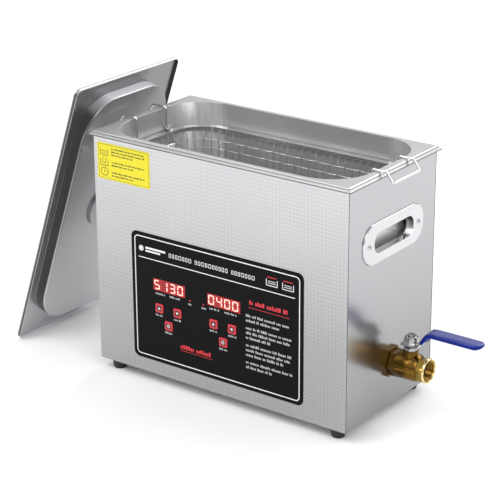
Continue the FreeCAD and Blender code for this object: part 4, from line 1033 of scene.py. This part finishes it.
# sections of turned parts, as (distance along the axis, radius) in millimetres
COLLAR_SECTION = ((-0.2, 6.3), (0.8, 6.2), (1.5, 5.5), (1.55, 4.9), (0.9, 4.3), (-0.2, 4.2))
WASHER_SECTION = [(0, 4.2), (0, 8.6), (0.25, 8.9), (0.7, 8.9), (0.9, 8.6), (0.9, 4.2)]
GROOVE_SECTION = ((-2.0, 9.95), (-0.35, 11.6), (-0.35, 11.75), (-2.0, 11.75))
LIP_SECTION = ((-1.6, 11.7), (-0.3, 11.7), (-0.02, 12.0), (-0.02, 12.9), (-0.35, 13.3), (-1.6, 13.5))
SCREW_SECTION = [(-7.0, 1.3), (-0.05, 1.5), (0, 2.9), (0.5, 2.85), (0.95, 2.3), (1.2, 1.5), (1.3, 0.6)]
THREAD = {"turns": 4, "per_turn": 40, "pitch": 1.81, "bore": 9.93, "depth": 0.7, "half_flank": 0.8}


def make_valve_trim(finish):
    """Chamfered nuts and the washer on the stem, then the outlet."""
    nut_low, nut_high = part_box("lever_nut")
    packing_low, packing_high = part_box("packing_nut")
    stem = middle("lever_nut")
    tall = (nut_high.z - nut_low.z) / MM
    nut = Solid()
    hexagon_nut(nut, Vector((stem.x, stem.y, nut_low.z)), (0, 0, 1), NUT_FLATS, tall - NUT_COLLAR, 4.0)
    collar = Vector((stem.x, stem.y, nut_high.z - NUT_COLLAR * MM))
    nut.turned(collar, (0, 0, 1), COLLAR_SECTION, 48, closed=True)
    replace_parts(nut.make("lever_nut_chamfered", finish["nickel"], "valve_handle", "valve_steel", 28.0),
                "lever_nut")
    washer = Solid()
    washer.turned(Vector((stem.x, stem.y, nut_low.z - 0.02 * MM)), (0, 0, 1), WASHER_SECTION, 48)
    washer.make("lever_washer", finish["screw"], "valve_handle", "valve_steel")
    packing = Solid()
    hexagon_nut(packing, Vector((stem.x, stem.y, packing_low.z)), (0, 0, 1), NUT_FLATS,
                (packing_high.z - packing_low.z) / MM, 4.1)
    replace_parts(packing.make("packing_nut_chamfered", finish["nickel"], "cabinet", "valve_steel", 28.0),
                "packing_nut")
    make_outlet(finish)


def make_outlet(finish):
    """Hexagonal outlet with its machined ring, and the thread inside it."""
    low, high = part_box("valve_insert")
    spot = middle("valve_insert")
    end = Solid()
    root = Vector((low.x, spot.y, spot.z))
    across, long_mm = (high.z - low.z) / MM * 0.866, (high.x - low.x) / MM
    hexagon_nut(end, root, (1, 0, 0), across, long_mm - 1.3, 10.0)
    face = Vector((high.x, spot.y, spot.z))
    end.turned(face, (1, 0, 0), GROOVE_SECTION, 64, closed=True)
    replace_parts(end.make("outlet_hexagon", finish["cut_brass_painted_lighter"], "cabinet", "brass", 28.0), "valve_insert")
    lip = Solid()
    lip.turned(face, (1, 0, 0), LIP_SECTION, 64, closed=True)
    lip.make("outlet_machined_face", finish["bright_brass"], "cabinet", "brass")
    thread = Solid()
    per_turn, pitch, bore = THREAD["per_turn"], THREAD["pitch"], THREAD["bore"]
    path_rings = []
    for i in range(THREAD["turns"] * per_turn + 1):
        turn = 2 * math.pi * i / per_turn
        start = face - Vector(((1.5 + pitch * i / per_turn) * MM, 0, 0))
        out = Vector((0, math.cos(turn), math.sin(turn)))
        flank = Vector((THREAD["half_flank"] * MM, 0, 0))
        path_rings.append([start + out * bore * MM + flank, start + out * (bore - THREAD["depth"]) * MM,
                           start + out * bore * MM - flank])
    thread.rings(path_rings)
    thread.make("outlet_thread", finish["brass"], "cabinet", "brass", 25.0)


def make_corner_seam_shadows(finish):
    """Painted shadow beside each upright corner: a thin dark strip in place of the shaded gap where a side
    panel meets the front or rear.
    """
    front_low, front_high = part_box("front_panel")
    rear_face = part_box("rear_panel")[1].y
    shadow_strips = Solid()
    raised, wide = 0.05 * MM, 0.9 * MM
    for x, sign in ((front_high.x, 1), (front_low.x, -1)):
        for y, inward in ((front_low.y, 1), (rear_face, -1)):
            near, far = y + inward * 0.5 * MM, y + inward * (0.5 * MM + wide)
            outline = [(near, front_low.z), (far, front_low.z), (far, front_high.z), (near, front_high.z)]
            shadow_strips.rings([[Vector((x, yy, zz)) for yy, zz in outline],
                         [Vector((x + sign * raised, yy, zz)) for yy, zz in outline]])
    shadow_strips.make("corner_seam_shadows", finish["gap_shadow"], "cabinet", "stainless_sheet")


def make_screw_heads(finish):
    """Domed heads in place of the plain ones on the handle bezels, each with two crossed black strips laid on
    it, painted shade for its slots.
    """
    heads = Solid()
    slots = Solid()
    screws_low, screws_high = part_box("handle_screws")
    plate_z = middle("handle_plate_right").z
    reach_y = (screws_high.y - screws_low.y) / 2 - 2.8 * MM
    for sign, plate in ((1, "handle_plate_right"), (-1, "handle_plate_left")):
        low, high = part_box(plate)
        face = high.x if sign > 0 else low.x
        for y in (-reach_y, reach_y):
            centre = Vector((face, y, plate_z))
            heads.turned(centre, (sign, 0, 0), SCREW_SECTION, 32)
            for turn in (20, 110):
                along = Vector((0, math.cos(math.radians(turn)), math.sin(math.radians(turn))))
                across = Vector((0, -along.z, along.y))
                top = centre + Vector((sign * 1.2 * MM, 0, 0))
                corners = [top + along * a * 1.7 * MM + across * b * 0.32 * MM
                           for a, b in ((-1, -1), (1, -1), (1, 1), (-1, 1))]
                lifted = [corner + Vector((sign * 0.14 * MM, 0, 0)) for corner in corners]
                slots.rings([corners, lifted])
    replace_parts(heads.make("bezel_screws", finish["screw"], "cabinet", "screw_steel", 40.0), "handle_screws")
    # painted shade: black strips lie on the heads where real slots would be cut and shaded
    slots.make("bezel_screw_slot_shadows", finish["black"], "cabinet", "screw_steel")


# ---- build

def main():
    make_camera()
    make_studio()
    finish = make_materials()
    finish_nodes(finish)
    make_panel_print(finish)
    make_displays(finish)
    make_key_faces(finish)
    make_label_print(finish)
    make_woven_basket(finish)
    make_sleeve(finish)
    make_valve_trim(finish)
    make_corner_seam_shadows(finish)
    make_screw_heads(finish)


main()
